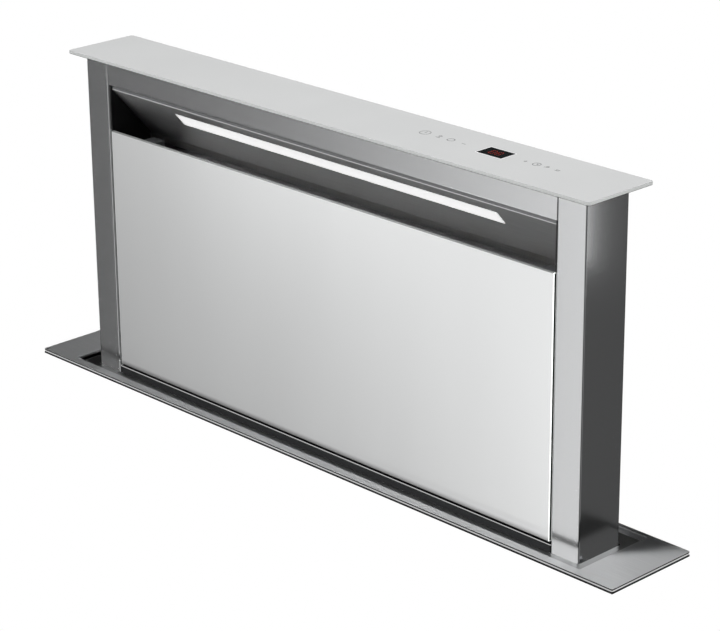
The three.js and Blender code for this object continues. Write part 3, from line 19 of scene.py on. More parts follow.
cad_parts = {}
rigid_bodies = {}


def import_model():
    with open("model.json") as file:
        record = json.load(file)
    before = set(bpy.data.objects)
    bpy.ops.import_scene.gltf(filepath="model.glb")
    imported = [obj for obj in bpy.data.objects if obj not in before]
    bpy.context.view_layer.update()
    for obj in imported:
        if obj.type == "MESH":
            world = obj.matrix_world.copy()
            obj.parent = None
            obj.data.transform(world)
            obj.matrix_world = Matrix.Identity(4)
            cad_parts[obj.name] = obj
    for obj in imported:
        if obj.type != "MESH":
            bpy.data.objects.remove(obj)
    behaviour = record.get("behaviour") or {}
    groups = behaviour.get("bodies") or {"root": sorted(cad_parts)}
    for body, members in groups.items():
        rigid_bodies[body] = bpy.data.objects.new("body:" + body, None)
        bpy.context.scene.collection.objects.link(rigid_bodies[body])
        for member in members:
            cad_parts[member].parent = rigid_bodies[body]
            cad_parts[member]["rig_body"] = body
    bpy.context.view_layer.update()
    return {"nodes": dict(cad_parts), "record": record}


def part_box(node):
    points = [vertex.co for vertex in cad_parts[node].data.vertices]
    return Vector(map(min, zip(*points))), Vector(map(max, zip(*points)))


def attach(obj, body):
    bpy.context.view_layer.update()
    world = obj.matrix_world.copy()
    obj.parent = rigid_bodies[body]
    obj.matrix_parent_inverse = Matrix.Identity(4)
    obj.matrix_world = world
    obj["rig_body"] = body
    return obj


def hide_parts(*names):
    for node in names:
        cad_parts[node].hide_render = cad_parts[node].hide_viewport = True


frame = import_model()
nodes = frame["nodes"]

MM = 0.001


def add_object(name, data):
    """A new object in the scene."""
    made = bpy.data.objects.new(name, data)
    bpy.context.scene.collection.objects.link(made)
    return made


# %% [markdown]
# ## The camera
#
# The photograph was taken from the front right and a little above, with a long lens that keeps
# the long edges nearly parallel. The camera is placed by the point that it looks at, its distance
# and the angles of its line of sight. The small roll levels the uprights.

# %% Camera
CAMERA_TARGET = Vector((139.482, -99.504, 213.079)) * MM
CAMERA_DISTANCE = 2528.186 * MM
CAMERA_AZIMUTH = math.radians(46.214)  # from the front towards the right
CAMERA_ELEVATION = math.radians(20.856)
CAMERA_ROLL = math.radians(-0.504)
FOCAL_LENGTH, SENSOR_WIDTH = 128.112, 36  # in mm, as the camera takes them

back = Vector((math.sin(CAMERA_AZIMUTH) * math.cos(CAMERA_ELEVATION),
               -math.cos(CAMERA_AZIMUTH) * math.cos(CAMERA_ELEVATION),
               math.sin(CAMERA_ELEVATION)))
right = Vector((0, 0, 1)).cross(back).normalized()
up = back.cross(right)
level, tilt = math.cos(CAMERA_ROLL), math.sin(CAMERA_ROLL)
right, up = level * right + tilt * up, level * up - tilt * right

camera = add_object("camera", bpy.data.cameras.new("camera"))
camera.data.lens = FOCAL_LENGTH
camera.data.sensor_width = SENSOR_WIDTH
camera.data.sensor_fit = "HORIZONTAL"
camera.data.clip_start = 0.05
camera.data.clip_end = 50
camera.matrix_world = Matrix((right, up, back)).transposed().to_4x4()
camera.location = CAMERA_TARGET + back * CAMERA_DISTANCE
bpy.context.scene.camera = camera
print("camera at", [round(v, 3) for v in camera.location])

# %% [markdown]
# ## Small tools for materials
#
# Colours are picked as sRGB hex values, as a paint chart shows them. Blender's shaders want
# linear light, so one function turns them. A second adds a node to a tree, with its inputs set to
# a value or linked to another node's output. The rest are short names for common nodes.

# %% Colour and node helpers
def linear(hex_colour):
    """An sRGB hex colour as the linear RGBA that shaders use."""
    channels = [int(hex_colour[i:i + 2], 16) / 255 for i in (0, 2, 4)]
    return [c / 12.92 if c <= 0.04045 else ((c + 0.055) / 1.055) ** 2.4 for c in channels] + [1]


def add_node(tree, kind, inputs=(), **settings):
    """Add a node. inputs gives a value, or an output to link, for each input's name or number."""
    node = tree.nodes.new(kind)
    for name, value in settings.items():
        setattr(node, name, value)
    for key, value in dict(inputs).items():
        if isinstance(value, bpy.types.NodeSocket):
            tree.links.new(value, node.inputs[key])
        else:
            node.inputs[key].default_value = value
    return node


def maths(tree, operation, first, second):
    """One sum of two numbers."""
    return add_node(tree, "ShaderNodeMath", {0: first, 1: second}, operation=operation).outputs[0]


def ranged(tree, value, low=0.0, high=1.0, to_low=0.0, to_high=1.0, smooth=False):
    """A number, taken from one range to another."""
    return add_node(tree, "ShaderNodeMapRange",
                    {"Value": value, "From Min": low, "From Max": high, "To Min": to_low,
                     "To Max": to_high},
                    interpolation_type="SMOOTHSTEP" if smooth else "LINEAR").outputs[0]


def mixed(tree, share, first, second):
    """A colour between two colours."""
    return add_node(tree, "ShaderNodeMix", {"Factor": share, 6: first, 7: second},
                    data_type="RGBA").outputs[2]


def either(tree, share, first, second):
    """A shader between two shaders."""
    return add_node(tree, "ShaderNodeMixShader", {0: share, 1: first, 2: second}).outputs[0]


def glow(tree, strength):
    """A white glow."""
    return add_node(tree, "ShaderNodeEmission",
                    {"Color": (1, 1, 1, 1), "Strength": strength}).outputs[0]


def empty_tree(owner):
    """The emptied node tree of a material or a world."""
    owner.use_nodes = True
    owner.node_tree.nodes.clear()
    return owner.node_tree


print("white glass in linear light:", [round(c, 3) for c in linear("E9EAEA")])

# %% [markdown]
# ## The worktop
#
# The photograph shows the vent on pure white. A worktop hides the housing below it, so a white
# sheet lies level with the underside of the flange, with a hole for the housing. It stops behind
# the flange, so that the housing shows from behind. The camera sees flat white, with a faint grey
# sheen at a grazing angle, as a lacquered worktop has. Every other ray passes through, so that
# the steel mirrors the studio.

# %% Worktop
CUTOUT_X, CUTOUT_Y = 403 * MM, 52 * MM
WORKTOP_LEFT, WORKTOP_RIGHT, WORKTOP_FRONT, WORKTOP_BACK = -0.9, 1.6, -1.4, 57 * MM
WORKTOP_LEVEL = -0.2 * MM
SHEEN_FROM, SHEEN_FULL, SHEEN_GREY = 0.86, 0.94, 0.74
edges_x = [WORKTOP_LEFT, -CUTOUT_X, CUTOUT_X, WORKTOP_RIGHT]
edges_y = [WORKTOP_FRONT, -CUTOUT_Y, CUTOUT_Y, WORKTOP_BACK]
worktop_mesh = bpy.data.meshes.new("worktop")
corners = [(x, y, WORKTOP_LEVEL) for y in edges_y for x in edges_x]
fields = [(4 * r + c, 4 * r + c + 1, 4 * r + c + 5, 4 * r + c + 4)
          for r in range(3) for c in range(3) if (r, c) != (1, 1)]
worktop_mesh.from_pydata(corners, [], fields)
worktop = add_object("worktop", worktop_mesh)

worktop_paint = bpy.data.materials.new("white worktop")
tree = empty_tree(worktop_paint)
path = add_node(tree, "ShaderNodeLightPath")
clear = add_node(tree, "ShaderNodeBsdfTransparent")
grazing = add_node(tree, "ShaderNodeLayerWeight", {"Blend": 0.5})
sheen = ranged(tree, grazing.outputs["Facing"], SHEEN_FROM, SHEEN_FULL, 1.0, SHEEN_GREY,
               smooth=True)
seen = either(tree, path.outputs["Is Camera Ray"], clear.outputs[0], glow(tree, sheen))
add_node(tree, "ShaderNodeOutputMaterial", {"Surface": seen})
worktop_mesh.materials.append(worktop_paint)
print("worktop fields:", len(fields))

# %% [markdown]
# ## The studio around the vent
#
# Polished steel shows the room that it stands in, drawn here in the world's background: a soft
# white ceiling, a bright wall at the front right whose edge falls between the two uprights, so
# that the right one is bright and the left one dark, and a dark side behind the right end. Each
# wall is a list of greys by bearing, in degrees from the front towards the left. The camera
# itself sees plain white.

# %% Studio
WALLS_LOW = [(-180, 0.02), (-156, 0.02), (-140, 0.09), (-116, 0.09), (-90, 0.28), (-62, 0.06),
             (-25, 0.06), (0, 0.45), (32, 0.95), (41.5, 1.0), (47.5, 0.09), (100, 0.05),
             (180, 0.03)]
WALLS_HIGH = [(-180, 0.10), (-140, 0.25), (-100, 0.10), (-20, 0.06), (40, 0.06), (60, 0.06),
              (100, 0.02), (180, 0.02)]
STRIP = [(22, 0.0), (34, 1.0), (42, 1.0), (46, 0.0)]
STRIP_BRIGHTNESS = 14.0
# A high window behind the right end, which only the sloped arrises mirror.
WINDOW = [(-178, 0.0), (-164, 1.0), (-138, 1.0), (-124, 0.0)]
WINDOW_BRIGHTNESS = 4.0
FLOOR = (0.8, 0.8, 0.8, 1)

world = bpy.data.worlds.new("studio")
bpy.context.scene.world = world
world.cycles.sampling_method = "NONE"
tree = empty_tree(world)
axes = add_node(tree, "ShaderNodeSeparateXYZ",
                {0: add_node(tree, "ShaderNodeTexCoord").outputs["Generated"]})
bearing = maths(tree, "ARCTAN2", maths(tree, "MULTIPLY", axes.outputs["X"], -1.0),
                maths(tree, "MULTIPLY", axes.outputs["Y"], -1.0))
turn = ranged(tree, bearing, -math.pi, math.pi)


def ramp(stops):
    """A grey for each bearing, from (degrees, grey) pairs."""
    node = add_node(tree, "ShaderNodeValToRGB", {"Fac": turn})
    points = node.color_ramp.elements
    while len(points) < len(stops):
        points.new(0.5)
    for point, (degrees, grey) in zip(points, stops):
        point.position = (degrees + 180) / 360
        point.color = (grey, grey, grey, 1)
    return node.outputs[0]


def above(low, high):
    """0 below one height of the view direction and 1 above another."""
    return ranged(tree, axes.outputs["Z"], low, high, smooth=True)


def with_patch(walls, stops, foot, head, brightness):
    """The walls with a bright patch, whose soft foot and head are (low, high) heights."""
    share = maths(tree, "SUBTRACT", above(*foot), above(*head))
    patch = add_node(tree, "ShaderNodeVectorMath",
                     {0: ramp(stops), "Scale": maths(tree, "MULTIPLY", share, brightness)},
                     operation="SCALE").outputs[0]
    return add_node(tree, "ShaderNodeVectorMath", {0: walls, 1: patch}, operation="ADD").outputs[0]


def background(colour):
    """A background of one colour."""
    return add_node(tree, "ShaderNodeBackground", {"Color": colour}).outputs[0]


walls = mixed(tree, above(0.02, 0.30), ramp(WALLS_LOW), ramp(WALLS_HIGH))
walls = with_patch(walls, STRIP, (0.02, 0.06), (0.27, 0.33), STRIP_BRIGHTNESS)
walls = with_patch(walls, WINDOW, (0.48, 0.58), (0.78, 0.88), WINDOW_BRIGHTNESS)
mirrored_room = background(mixed(tree, above(-0.95, -0.78), FLOOR, walls))
soft_room = background(ranged(tree, axes.outputs["Z"], 0.3, 1.0, 0.12, 1.5, smooth=True))
path = add_node(tree, "ShaderNodeLightPath")
lit = either(tree, path.outputs["Is Glossy Ray"], soft_room, mirrored_room)
backdrop = either(tree, path.outputs["Is Camera Ray"], lit, background((1, 1, 1, 1)))
add_node(tree, "ShaderNodeOutputWorld", {"Surface": backdrop})
bpy.context.scene.view_settings.view_transform = "Standard"
bpy.context.scene.view_settings.look = "None"
print("studio walls drawn from", len(WALLS_LOW), "stops")

# %% [markdown]
# ## Soft light on the glass
#
# In the photograph the white panel is brightest at its upper right and fades towards its lower
# left, and the cap is evenly lit from above. The steel would mirror a lamp, so these are soft
# squares that mirrors can't see. Four great soft boxes fall only on the housing and the riser's
# back, which the photograph doesn't show, so those may be mirrored.

# %% Lamps
def soft_lamp(name, place, aim, size, watts, mirrored=False):
    """A square lamp that the camera doesn't see, and mirrors only where asked."""
    lamp = add_object(name, bpy.data.lights.new(name, "AREA"))
    lamp.data.shape = "SQUARE"
    lamp.data.size = size
    lamp.data.energy = watts
    lamp.location = place
    lamp.rotation_euler = (Vector(aim) - lamp.location).to_track_quat("-Z", "Y").to_euler()
    lamp.visible_camera = False
    lamp.visible_glossy = mirrored
    return lamp


PANEL_MIDDLE = (0.0, 0.0, 0.15)
panel_lamps = [soft_lamp("upper panel light", (0.0, -0.4, 0.7), PANEL_MIDDLE, 0.15, 2.5),
               soft_lamp("lower panel light", (0.8, -0.4, 0.1), PANEL_MIDDLE, 0.15, 2.8)]
soft_lamp("cap light", (-0.1, 0.1, 1.4), (0.0, 0.0, 0.37), 0.8, 1.9)
# For each soft box its name, its place, what it aims at, its size and its watts.
SOFT_BOXES = [("front", (0.3, -3.0, 0.0), (0.3, 0.0, -0.1), 3.5, 22),
              ("side", (3.0, -0.2, 0.0), (0.0, -0.2, -0.1), 3.0, 16),
              ("left", (-3.0, -0.2, 0.2), (0.0, -0.2, -0.1), 3.0, 16),
              ("back", (0.8, 2.6, -0.2), (0.8, 0.0, -0.2), 5.5, 46)]
housing_lamps = [soft_lamp(f"housing {side} light", *settings, mirrored=True)
                 for side, *settings in SOFT_BOXES]

# %% [markdown]
# ## A card beside the right end
#
# The right end of the riser is dark, with a soft glow at its upper front, as from a small white
# card held close to the steel. The card only shows in mirrors, so it neither lights the glass nor
# throws a shadow.

# %% Bounce card
CARD_X, CARD_FRONT, CARD_BACK, CARD_FOOT, CARD_HEAD = 0.506, 0.03, 0.12, 0.24, 0.42
CARD_BRIGHTNESS = 1.2
card_mesh = bpy.data.meshes.new("side card")
card_mesh.from_pydata([(CARD_X, CARD_FRONT, CARD_FOOT), (CARD_X, CARD_BACK, CARD_FOOT),
                       (CARD_X, CARD_BACK, CARD_HEAD), (CARD_X, CARD_FRONT, CARD_HEAD)],
                      [], [(0, 3, 2, 1)])
card = add_object("side card", card_mesh)
card_paint = bpy.data.materials.new("side card")
tree = empty_tree(card_paint)
add_node(tree, "ShaderNodeOutputMaterial", {"Surface": glow(tree, CARD_BRIGHTNESS)})
card_mesh.materials.append(card_paint)
card.visible_camera = card.visible_diffuse = card.visible_shadow = False
print("card at x", CARD_X)

# %% [markdown]
# ## Finishes
#
# Every finish is Blender's principled shader, made uneven as the real surface is: one noise of a
# real size moves the colour between two values, moves the roughness, and raises a faint relief.
# Stretching the coordinates before the noise turns specks into brushing or drawing marks.

# %% Finish helpers
def plain(name, colour, roughness, metallic=0.0, **sockets):
    """A new material; further sockets are given by name, with _ for a space."""
    material = bpy.data.materials.new(name)
    material.use_nodes = True
    shader = material.node_tree.nodes["Principled BSDF"]
    given = {"Base_Color": linear(colour), "Roughness": roughness, "Metallic": metallic, **sockets}
    for key, value in given.items():
        shader.inputs[key.replace("_", " ")].default_value = value
    return material


def wire(material, socket, output):
    """Link an output to a socket of the material's principled shader."""
    tree = material.node_tree
    tree.links.new(output, tree.nodes["Principled BSDF"].inputs[socket])


def place_on(material, stretch=(1, 1, 1), uv_map=None):
    """Coordinates in metres, the piece's own or from one of its UV maps, divided by stretch."""
    tree = material.node_tree
    if uv_map:
        source = add_node(tree, "ShaderNodeUVMap", uv_map=uv_map).outputs[0]
    else:
        source = add_node(tree, "ShaderNodeTexCoord").outputs["Object"]
    scale = [1 / s for s in stretch]
    return add_node(tree, "ShaderNodeMapping", {"Vector": source, "Scale": scale}).outputs[0]


def finish(name, size, colours, roughness, metallic=0.0, relief=0.0, detail=2.0, stretch=(1, 1, 1),
           uv_map=None, **sockets):
    """A material uneven at one size; colour and roughness are (low, high), lengths in metres."""
    material = plain(name, colours[1], roughness[1], metallic, **sockets)
    tree = material.node_tree
    noise = add_node(tree, "ShaderNodeTexNoise", {"Vector": place_on(material, stretch, uv_map),
                                                  "Scale": 1 / size, "Detail": detail})
    share = ranged(tree, noise.outputs["Fac"], 0.3, 0.7)
    wire(material, "Base Color", mixed(tree, share, linear(colours[0]), linear(colours[1])))
    wire(material, "Roughness", ranged(tree, share, to_low=roughness[0], to_high=roughness[1]))
    if relief:
        bump = add_node(tree, "ShaderNodeBump", {"Height": share, "Distance": relief})
        wire(material, "Normal", bump.outputs[0])
    return material


finishes = {}
print("finish helpers ready")

# %% [markdown]
# ### Stainless steel
#
# The riser and the flange are stainless sheet, ground with a fine belt along their length and, on
# the flange, polished after that. The scratches stretch each reflection across the grain, which
# is what anisotropy does. They are also drawn, as a faint change of tone, 0.5 mm wide because
# finer ones vanish in the picture. They follow a UV map in metres, made with each piece further
# down, so they run along every face.

# %% Stainless steel
def steel_sheet(name, dark, light, roughness, spread, **sockets):
    """Stainless sheet with belt marks along its grain."""
    material = finish(name, 0.5 * MM, (dark, light), (roughness - spread, roughness + spread), 1,
                      stretch=(1, 80, 1), uv_map="across_grain", **sockets)
    across = add_node(material.node_tree, "ShaderNodeTangent", direction_type="UV_MAP",
                      uv_map="across_grain")
    wire(material, "Tangent", across.outputs[0])
    return material


# The flange spreads each light into a long fan, the mark of a belt-ground and polished top.
finishes["polished_steel"] = steel_sheet("polished stainless steel", "D2D3D4", "DDDEDF", 0.55, 0.02,
                                         Anisotropic=1.0)
# The riser is satin: soft mirrors of whole walls, without a fan.
finishes["brushed_steel"] = steel_sheet("brushed stainless steel", "DEDFE0", "E3E4E5", 0.2, 0.008)
# Inside the intake the sheet is rougher, as rolled, and painted greyer as shade.
intake_shade_steel = steel_sheet("rolled stainless steel painted greyer as shade", "C0C0C0", "CFCFCF", 0.45, 0.04)
# A rounded edge is drawn bright by the polishing wheel, and mirrors the high window.
arris_steel = steel_sheet("polished steel arris", "F0F1F2", "FBFBFB", 0.25, 0.02)
# The flange's rim is ground along its length, and painted dark as shade for its own shadow.
dark_shade_steel = steel_sheet("steel painted dark as shade", "363738", "404142", 0.4, 0.03)
# The recess floor is painted darker as shade, where its walls keep the light from it.
recess_shade_steel = steel_sheet("steel recess painted darker as shade", "A0A1A1", "ACADAD", 0.4, 0.03)
# Under the lintel the same sheet stands in half shade.
shaded_steel = steel_sheet("shaded steel return", "7A7B7C", "868788", 0.4, 0.03)
# A bend is burnished by the press tool, so it mirrors more sharply than the sheet beside it.
bend_steel = steel_sheet("burnished stainless bend", "DEDFE0", "E3E4E5", 0.1, 0.008)
# The flange's arrises are a fine line, thinner than a pixel, drawn as a painted highlight: a
# little emission glows over a dark steel that mirrors next to nothing.
WHITE = linear("FFFFFF")
arris_highlight_steel = steel_sheet("steel arris with painted highlight", "343536", "3C3D3E", 0.5, 0.03,
                             Emission_Color=WHITE, Emission_Strength=0.55)
print("steel finishes: 9")

# %% [markdown]
# ### White backed glass
#
# The cap and the front panel are clear toughened glass, painted white on the back: a deep even
# white under a sharp reflection. Toughened glass leaves the oven slightly wavy, in rollers' marks
# some 60 mm apart and a few microns high, so its reflections swim a little. Its polished edge is
# greener than the paint, and a little emission paints it brighter, as a painted highlight for the
# light from inside the sheet that comes out there.

# %% Glass
GLASS_WHITE = linear("F7FAF8")
finishes["white_glass"] = finish("white backed toughened glass", 60 * MM, ("E8E9E9", "EAEBEB"),
                                 (0.05, 0.07), relief=0.004 * MM, detail=0.0,
                                 stretch=(1, 1, 4), IOR=1.52)
# The polished edge's emission is a painted highlight.
glass_edge = finish("glass edge with painted highlight", 2 * MM, ("F4F8F6", "FAFCFB"), (0.08, 0.16), IOR=1.52,
                    Emission_Color=GLASS_WHITE, Emission_Strength=0.6)
# The panel's ground edges are painted black at the sides as painted shade, for the dark gap
# beside the uprights, and left grey above.
glass_side_shade = finish("glass edge painted black as shade", 2 * MM, ("0A0A0B", "101011"), (0.5, 0.7), IOR=1.5,
                    Specular_IOR_Level=0.0)
glass_top = finish("ground glass edge", 1 * MM, ("848685", "909291"), (0.5, 0.6), IOR=1.5)
# The cap's ground edge carries a weaker painted highlight than the polished one, for light from
# inside the sheet.
cap_edge = finish("ground cap edge with painted highlight", 2 * MM, ("E0E2E1", "E8EAE9"), (0.35, 0.45), IOR=1.52,
                  Emission_Color=GLASS_WHITE, Emission_Strength=0.3)

# The panel darkens softly over its lowest 7 mm, where the recess keeps the light from it.
FOOT_LOW, FOOT_HIGH = 7.5 * MM, 15 * MM
panel_glass = finishes["white_glass"].copy()
panel_glass.name = "panel glass"
tree = panel_glass.node_tree
paint = tree.nodes["Principled BSDF"].inputs["Base Color"].links[0].from_socket
place = add_node(tree, "ShaderNodeTexCoord").outputs["Object"]
height = add_node(tree, "ShaderNodeSeparateXYZ", {0: place}).outputs["Z"]
lit_share = ranged(tree, height, FOOT_LOW, FOOT_HIGH, smooth=True)
wire(panel_glass, "Base Color", mixed(tree, lit_share, linear("8C8C8C"), paint))
print("glass finishes: 6")

# %% [markdown]
# ### Galvanised sheet
#
# The housing is steel sheet dipped in zinc. As the zinc sets it grows flat crystals, the spangle,
# about 12 mm across. A pattern of straight-edged cells stands for them, and each cell's colour
# sets its tone and its roughness.

# %% Zinc spangle
SPANGLE = 12 * MM
zinc = plain("galvanised sheet steel", "A9ADB0", 0.42, 1)
tree = zinc.node_tree
crystals = add_node(tree, "ShaderNodeTexVoronoi", {"Vector": place_on(zinc), "Scale": 1 / SPANGLE})
tone = add_node(tree, "ShaderNodeSeparateColor", {"Color": crystals.outputs["Color"]})
wire(zinc, "Base Color", mixed(tree, tone.outputs[0], linear("9CA1A4"), linear("B9BDC0")))
wire(zinc, "Roughness", ranged(tree, tone.outputs[1], to_low=0.32, to_high=0.52))
finishes["galvanised"] = zinc
print("spangle of", SPANGLE, "m")

# %% [markdown]
# ### Mouldings, rubber and nylon
#
# The black and grey parts are ABS from spark-eroded moulds, which leave a fine dull grain, drawn
# at 0.6 mm so that it shows. The seals are EPDM rubber, nearly black with a greyish bloom in
# patches of a few centimetres. The guide shoes are cast nylon, a warm white with a waxy gloss.

# %% Plastics and rubber
MOULD_GRAIN = 0.6 * MM
finishes.update(
    black_plastic=finish("black moulded ABS", MOULD_GRAIN, ("171718", "1E1E1F"), (0.38, 0.52),
                         relief=0.02 * MM),
    grey_plastic=finish("grey moulded ABS", MOULD_GRAIN, ("737577", "7B7D7F"), (0.44, 0.56),
                        relief=0.02 * MM),
    black_rubber=finish("black EPDM rubber", 25 * MM, ("111111", "232424"), (0.72, 0.88),
                        detail=4.0),
    nylon=finish("white cast nylon", 8 * MM, ("DEDBD1", "E6E4DD"), (0.38, 0.5),
                 relief=0.01 * MM))
print("moulded finishes: 4")

# %% [markdown]
# ### The light
#
# The strip of light is opal acrylic over a row of LEDs, milky enough that no single one shows. It
# glows a touch below full white, so that it doesn't burn out beside the glass.

# %% Opal acrylic
STRIP_LIGHT = 0.8
finishes["opal_acrylic"] = finish("opal acrylic", 15 * MM, ("F6F6F2", "FAFAF7"), (0.35, 0.45),
                                  Emission_Color=WHITE, Emission_Strength=STRIP_LIGHT)
print("light strength", STRIP_LIGHT)

# %% [markdown]
# ### Aluminium, bronze, ground steel and circuit board
#
# The filters and the motor's shell are drawn aluminium, with draw marks along Z. The nuts are
# sintered bronze, with pores that hold oil. The screws are ground steel, turned against a wheel
# that leaves fine rings. A circuit board is woven glass under green lacquer, and its copper
# tracks show as lighter lines.

# %% Small metal parts
finishes.update(
    mesh_aluminium=finish("drawn aluminium", 0.6 * MM, ("BDBFC1", "CBCDCF"), (0.28, 0.42), 1,
                          relief=0.01 * MM, stretch=(1, 1, 30)),
    bronze=finish("sintered bronze", 0.5 * MM, ("94662F", "B58446"), (0.32, 0.55), 1,
                  relief=0.03 * MM, detail=4.0),
    ground_steel=finish("ground steel", 0.7 * MM, ("949698", "A6A8AA"), (0.2, 0.32), 1,
                        stretch=(40, 40, 1)))
zinc_plate = finish("zinc plated steel", 2 * MM, ("A9ACA8", "BEC0BC"), (0.24, 0.4), 1)
print("metal finishes: 4")

# %% Circuit board
TRACK_PITCH = 20 * MM
lacquer = plain("green lacquered circuit board", "1F5A35", 0.35)
tracks = add_node(lacquer.node_tree, "ShaderNodeTexBrick",
                  {"Vector": place_on(lacquer), "Color1": linear("1C5431"),
                   "Color2": linear("226039"), "Mortar": linear("3F8A55"),
                   "Scale": 1 / TRACK_PITCH, "Mortar Size": 0.03})
wire(lacquer, "Base Color", tracks.outputs["Color"])
finishes["circuit_board"] = lacquer
print("tracks every", TRACK_PITCH, "m")

# %% [markdown]
# ## Dressing the CAD pieces
#
# Each CAD piece says which finish it wears, so the whole object is dressed in one loop.

# %% Finishes onto the CAD pieces
slot_of = {part["node"]: part["material_slot"] for part in frame["record"]["subparts"]}
for node, slot_name in slot_of.items():
    mesh = nodes[node].data
    mesh.materials.clear()
    mesh.materials.append(finishes[slot_name])
print("pieces dressed:", len(slot_of))

# %% [markdown]
# ## Sheet metal and glass up close
#
# The CAD pieces have knife-sharp edges, and real ones don't: sheet is bent round a small radius,
# and glass has its edge ground. A rounded edge catches a thin line of light. The pieces that show
# are therefore copied, welded, and bevelled along every sharp edge. The bevels are shaded smooth
# and the large faces flat, or light would smear across the sheet. Each copy gets the UV map that
# the brushing follows: U runs across the grain and V along it, in metres.

# %% Refined copies
WELD = 1e-6
FLAT_ANGLE, SHARP_ANGLE = math.radians(0.5), math.radians(35)
WIDEST_BEVEL = 2.5 * MM


def refined(node, edge, shape=None, segments=2, soften=50, sheet_finish=None, zones=()):
    """A copy of a CAD piece, welded, with its sharp edges rounded and its brushing stored.
    zones are (finish, test) pairs: the first test that a face passes gives it that finish."""
    form = bmesh.new()
    form.from_mesh(nodes[node].data)
    bmesh.ops.remove_doubles(form, verts=form.verts, dist=WELD)
    bmesh.ops.dissolve_limit(form, angle_limit=FLAT_ANGLE, verts=form.verts, edges=form.edges)
    if shape:
        shape(form)
    sharp = [e for e in form.edges if len(e.link_faces) == 2 and e.calc_face_angle() > SHARP_ANGLE]
    bmesh.ops.bevel(form, geom=sharp, offset=edge, segments=segments, profile=0.5, affect="EDGES",
                    clamp_overlap=True)
    for face in form.faces:
        longest = max(e.calc_length() for e in face.edges)
        face.smooth = len(face.verts) == 4 and face.calc_area() / longest < WIDEST_BEVEL
    bmesh.ops.triangulate(form, faces=[f for f in form.faces if len(f.verts) > 4])
    uv = form.loops.layers.uv.new("across_grain")
    for face in form.faces:
        face.material_index = next((i + 1 for i, (_, test) in enumerate(zones) if test(face)), 0)
        lies_flat = abs(face.normal.z) > abs(face.normal.y)
        for corner in face.loops:
            x, y, z = corner.vert.co
            corner[uv].uv = (y if lies_flat else z, x)
    for e in form.edges:
        e.smooth = (len(e.link_faces) == 2 and e.calc_face_angle() < math.radians(soften)
                    and e.link_faces[0].material_index == e.link_faces[1].material_index)
    mesh = bpy.data.meshes.new(node + "_fine")
    form.to_mesh(mesh)
    form.free()
    if "custom_normal" in mesh.attributes:
        mesh.attributes.remove(mesh.attributes["custom_normal"])
    piece = add_object(node + "_fine", mesh)
    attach(piece, nodes[node]["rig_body"])
    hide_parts(node)
    for sheet in (sheet_finish or finishes[slot_of[node]], *[material for material, _ in zones]):
        mesh.materials.append(sheet)
    print(node, len(mesh.polygons), "faces")
    return piece


def bent(face):
    """A rounded or bent edge, which faces along no axis."""
    return max(abs(v) for v in face.normal) < 0.99


def at_side(face):
    return abs(face.normal.x) > 0.3


# %% [markdown]
# The flange is two sheets, one on the other, so its rim shows a dark line between two bright
# ones. The line is cut as a V: the rim is sliced at three heights and the middle slice is drawn
# in. The lower side of the V leans up at 45 degrees and carries a painted highlight, and the
# rim's faces that look outwards or down are painted dark as shade.

# %% Flange
FLANGE_X, FLANGE_FRONT, FLANGE_BACK, FLANGE_CORNER = 440 * MM, -60 * MM, 56 * MM, 2 * MM
GROOVE_DEPTH = 0.8 * MM
GROOVE_TOP, GROOVE_MIDDLE, GROOVE_FOOT = 4.2 * MM, 3.4 * MM, 2.6 * MM
TOP_BEND, RECESS_TOP = 4.4 * MM, 1.0 * MM


def out_of_rim(point):
    """How far, and in which direction, a point lies beyond the middles of the flange's corners."""
    x, y, _ = point
    return Vector((max(abs(x) - (FLANGE_X - FLANGE_CORNER), 0) * (1 if x > 0 else -1),
                   max(y - (FLANGE_BACK - FLANGE_CORNER), 0)
                   + min(y - (FLANGE_FRONT + FLANGE_CORNER), 0), 0))


def groove_rim(form):
    """Cut a shadow line round the flange's rim."""
    for level in (GROOVE_TOP, GROOVE_MIDDLE, GROOVE_FOOT):
        bmesh.ops.bisect_plane(form, geom=form.verts[:] + form.edges[:] + form.faces[:],
                               plane_co=(0, 0, level), plane_no=(0, 0, 1), dist=1e-7)
    for vert in form.verts:
        out = out_of_rim(vert.co)
        if out.length > FLANGE_CORNER * 0.9 and abs(vert.co.z - GROOVE_MIDDLE) < WELD:
            vert.co -= out.normalized() * GROOVE_DEPTH


def in_rim(face):
    """Whether a face belongs to the flange's rim, the groove in it included."""
    return out_of_rim(face.calc_center_median()).length > FLANGE_CORNER * 0.4


def shaded_rim(face):
    """Whether a face of the rim looks outwards or down, and so lies in its own shadow."""
    return face.normal.z < 0.3 and in_rim(face)


def highlit_arris(face):
    """The flange's upper arrises and the groove's upward side, which carry a painted highlight."""
    high = face.calc_center_median().z > TOP_BEND
    return bent(face) and face.normal.z > 0.2 and (high or in_rim(face))


def recess_floor(face):
    """The floor of the recess that takes the cap, painted darker as shade."""
    return face.normal.z > 0.5 and face.calc_center_median().z < RECESS_TOP


# The flange's arrises carry a painted highlight, and its rim and recess floor are painted dark as
# shade.
flange = refined("flange_frame", 0.5 * MM, shape=groove_rim, segments=3, soften=40,
                 zones=((arris_highlight_steel, highlit_arris), (dark_shade_steel, shaded_rim),
                        (recess_shade_steel, recess_floor)))
# The riser's foot would mirror the flange and the wiper as a dark smear, which the photograph
# doesn't show.
flange.visible_glossy = False
nodes["slot_wiper_seal"].visible_glossy = False

# %% [markdown]
# The front glass is drawn in at its sides, so that a dark gap shows beside the uprights. The two
# panel lamps fall on this glass alone, or they would burn out the cap. A light's receiver
# collection says which objects it falls on.

# %% Glass
SIDE_GAP = 0.8 * MM


def ground_in(form):
    for vert in form.verts:
        vert.co.x -= SIDE_GAP * (1 if vert.co.x > 0 else -1)


def light_only(lamps, title, pieces):
    """Let lamps fall on some pieces and on nothing else."""
    lit_pieces = bpy.data.collections.new(title)
    for piece in pieces:
        lit_pieces.objects.link(piece)
    for lamp in lamps:
        lamp.light_linking.receiver_collection = lit_pieces
    print(title + ":", len(pieces))


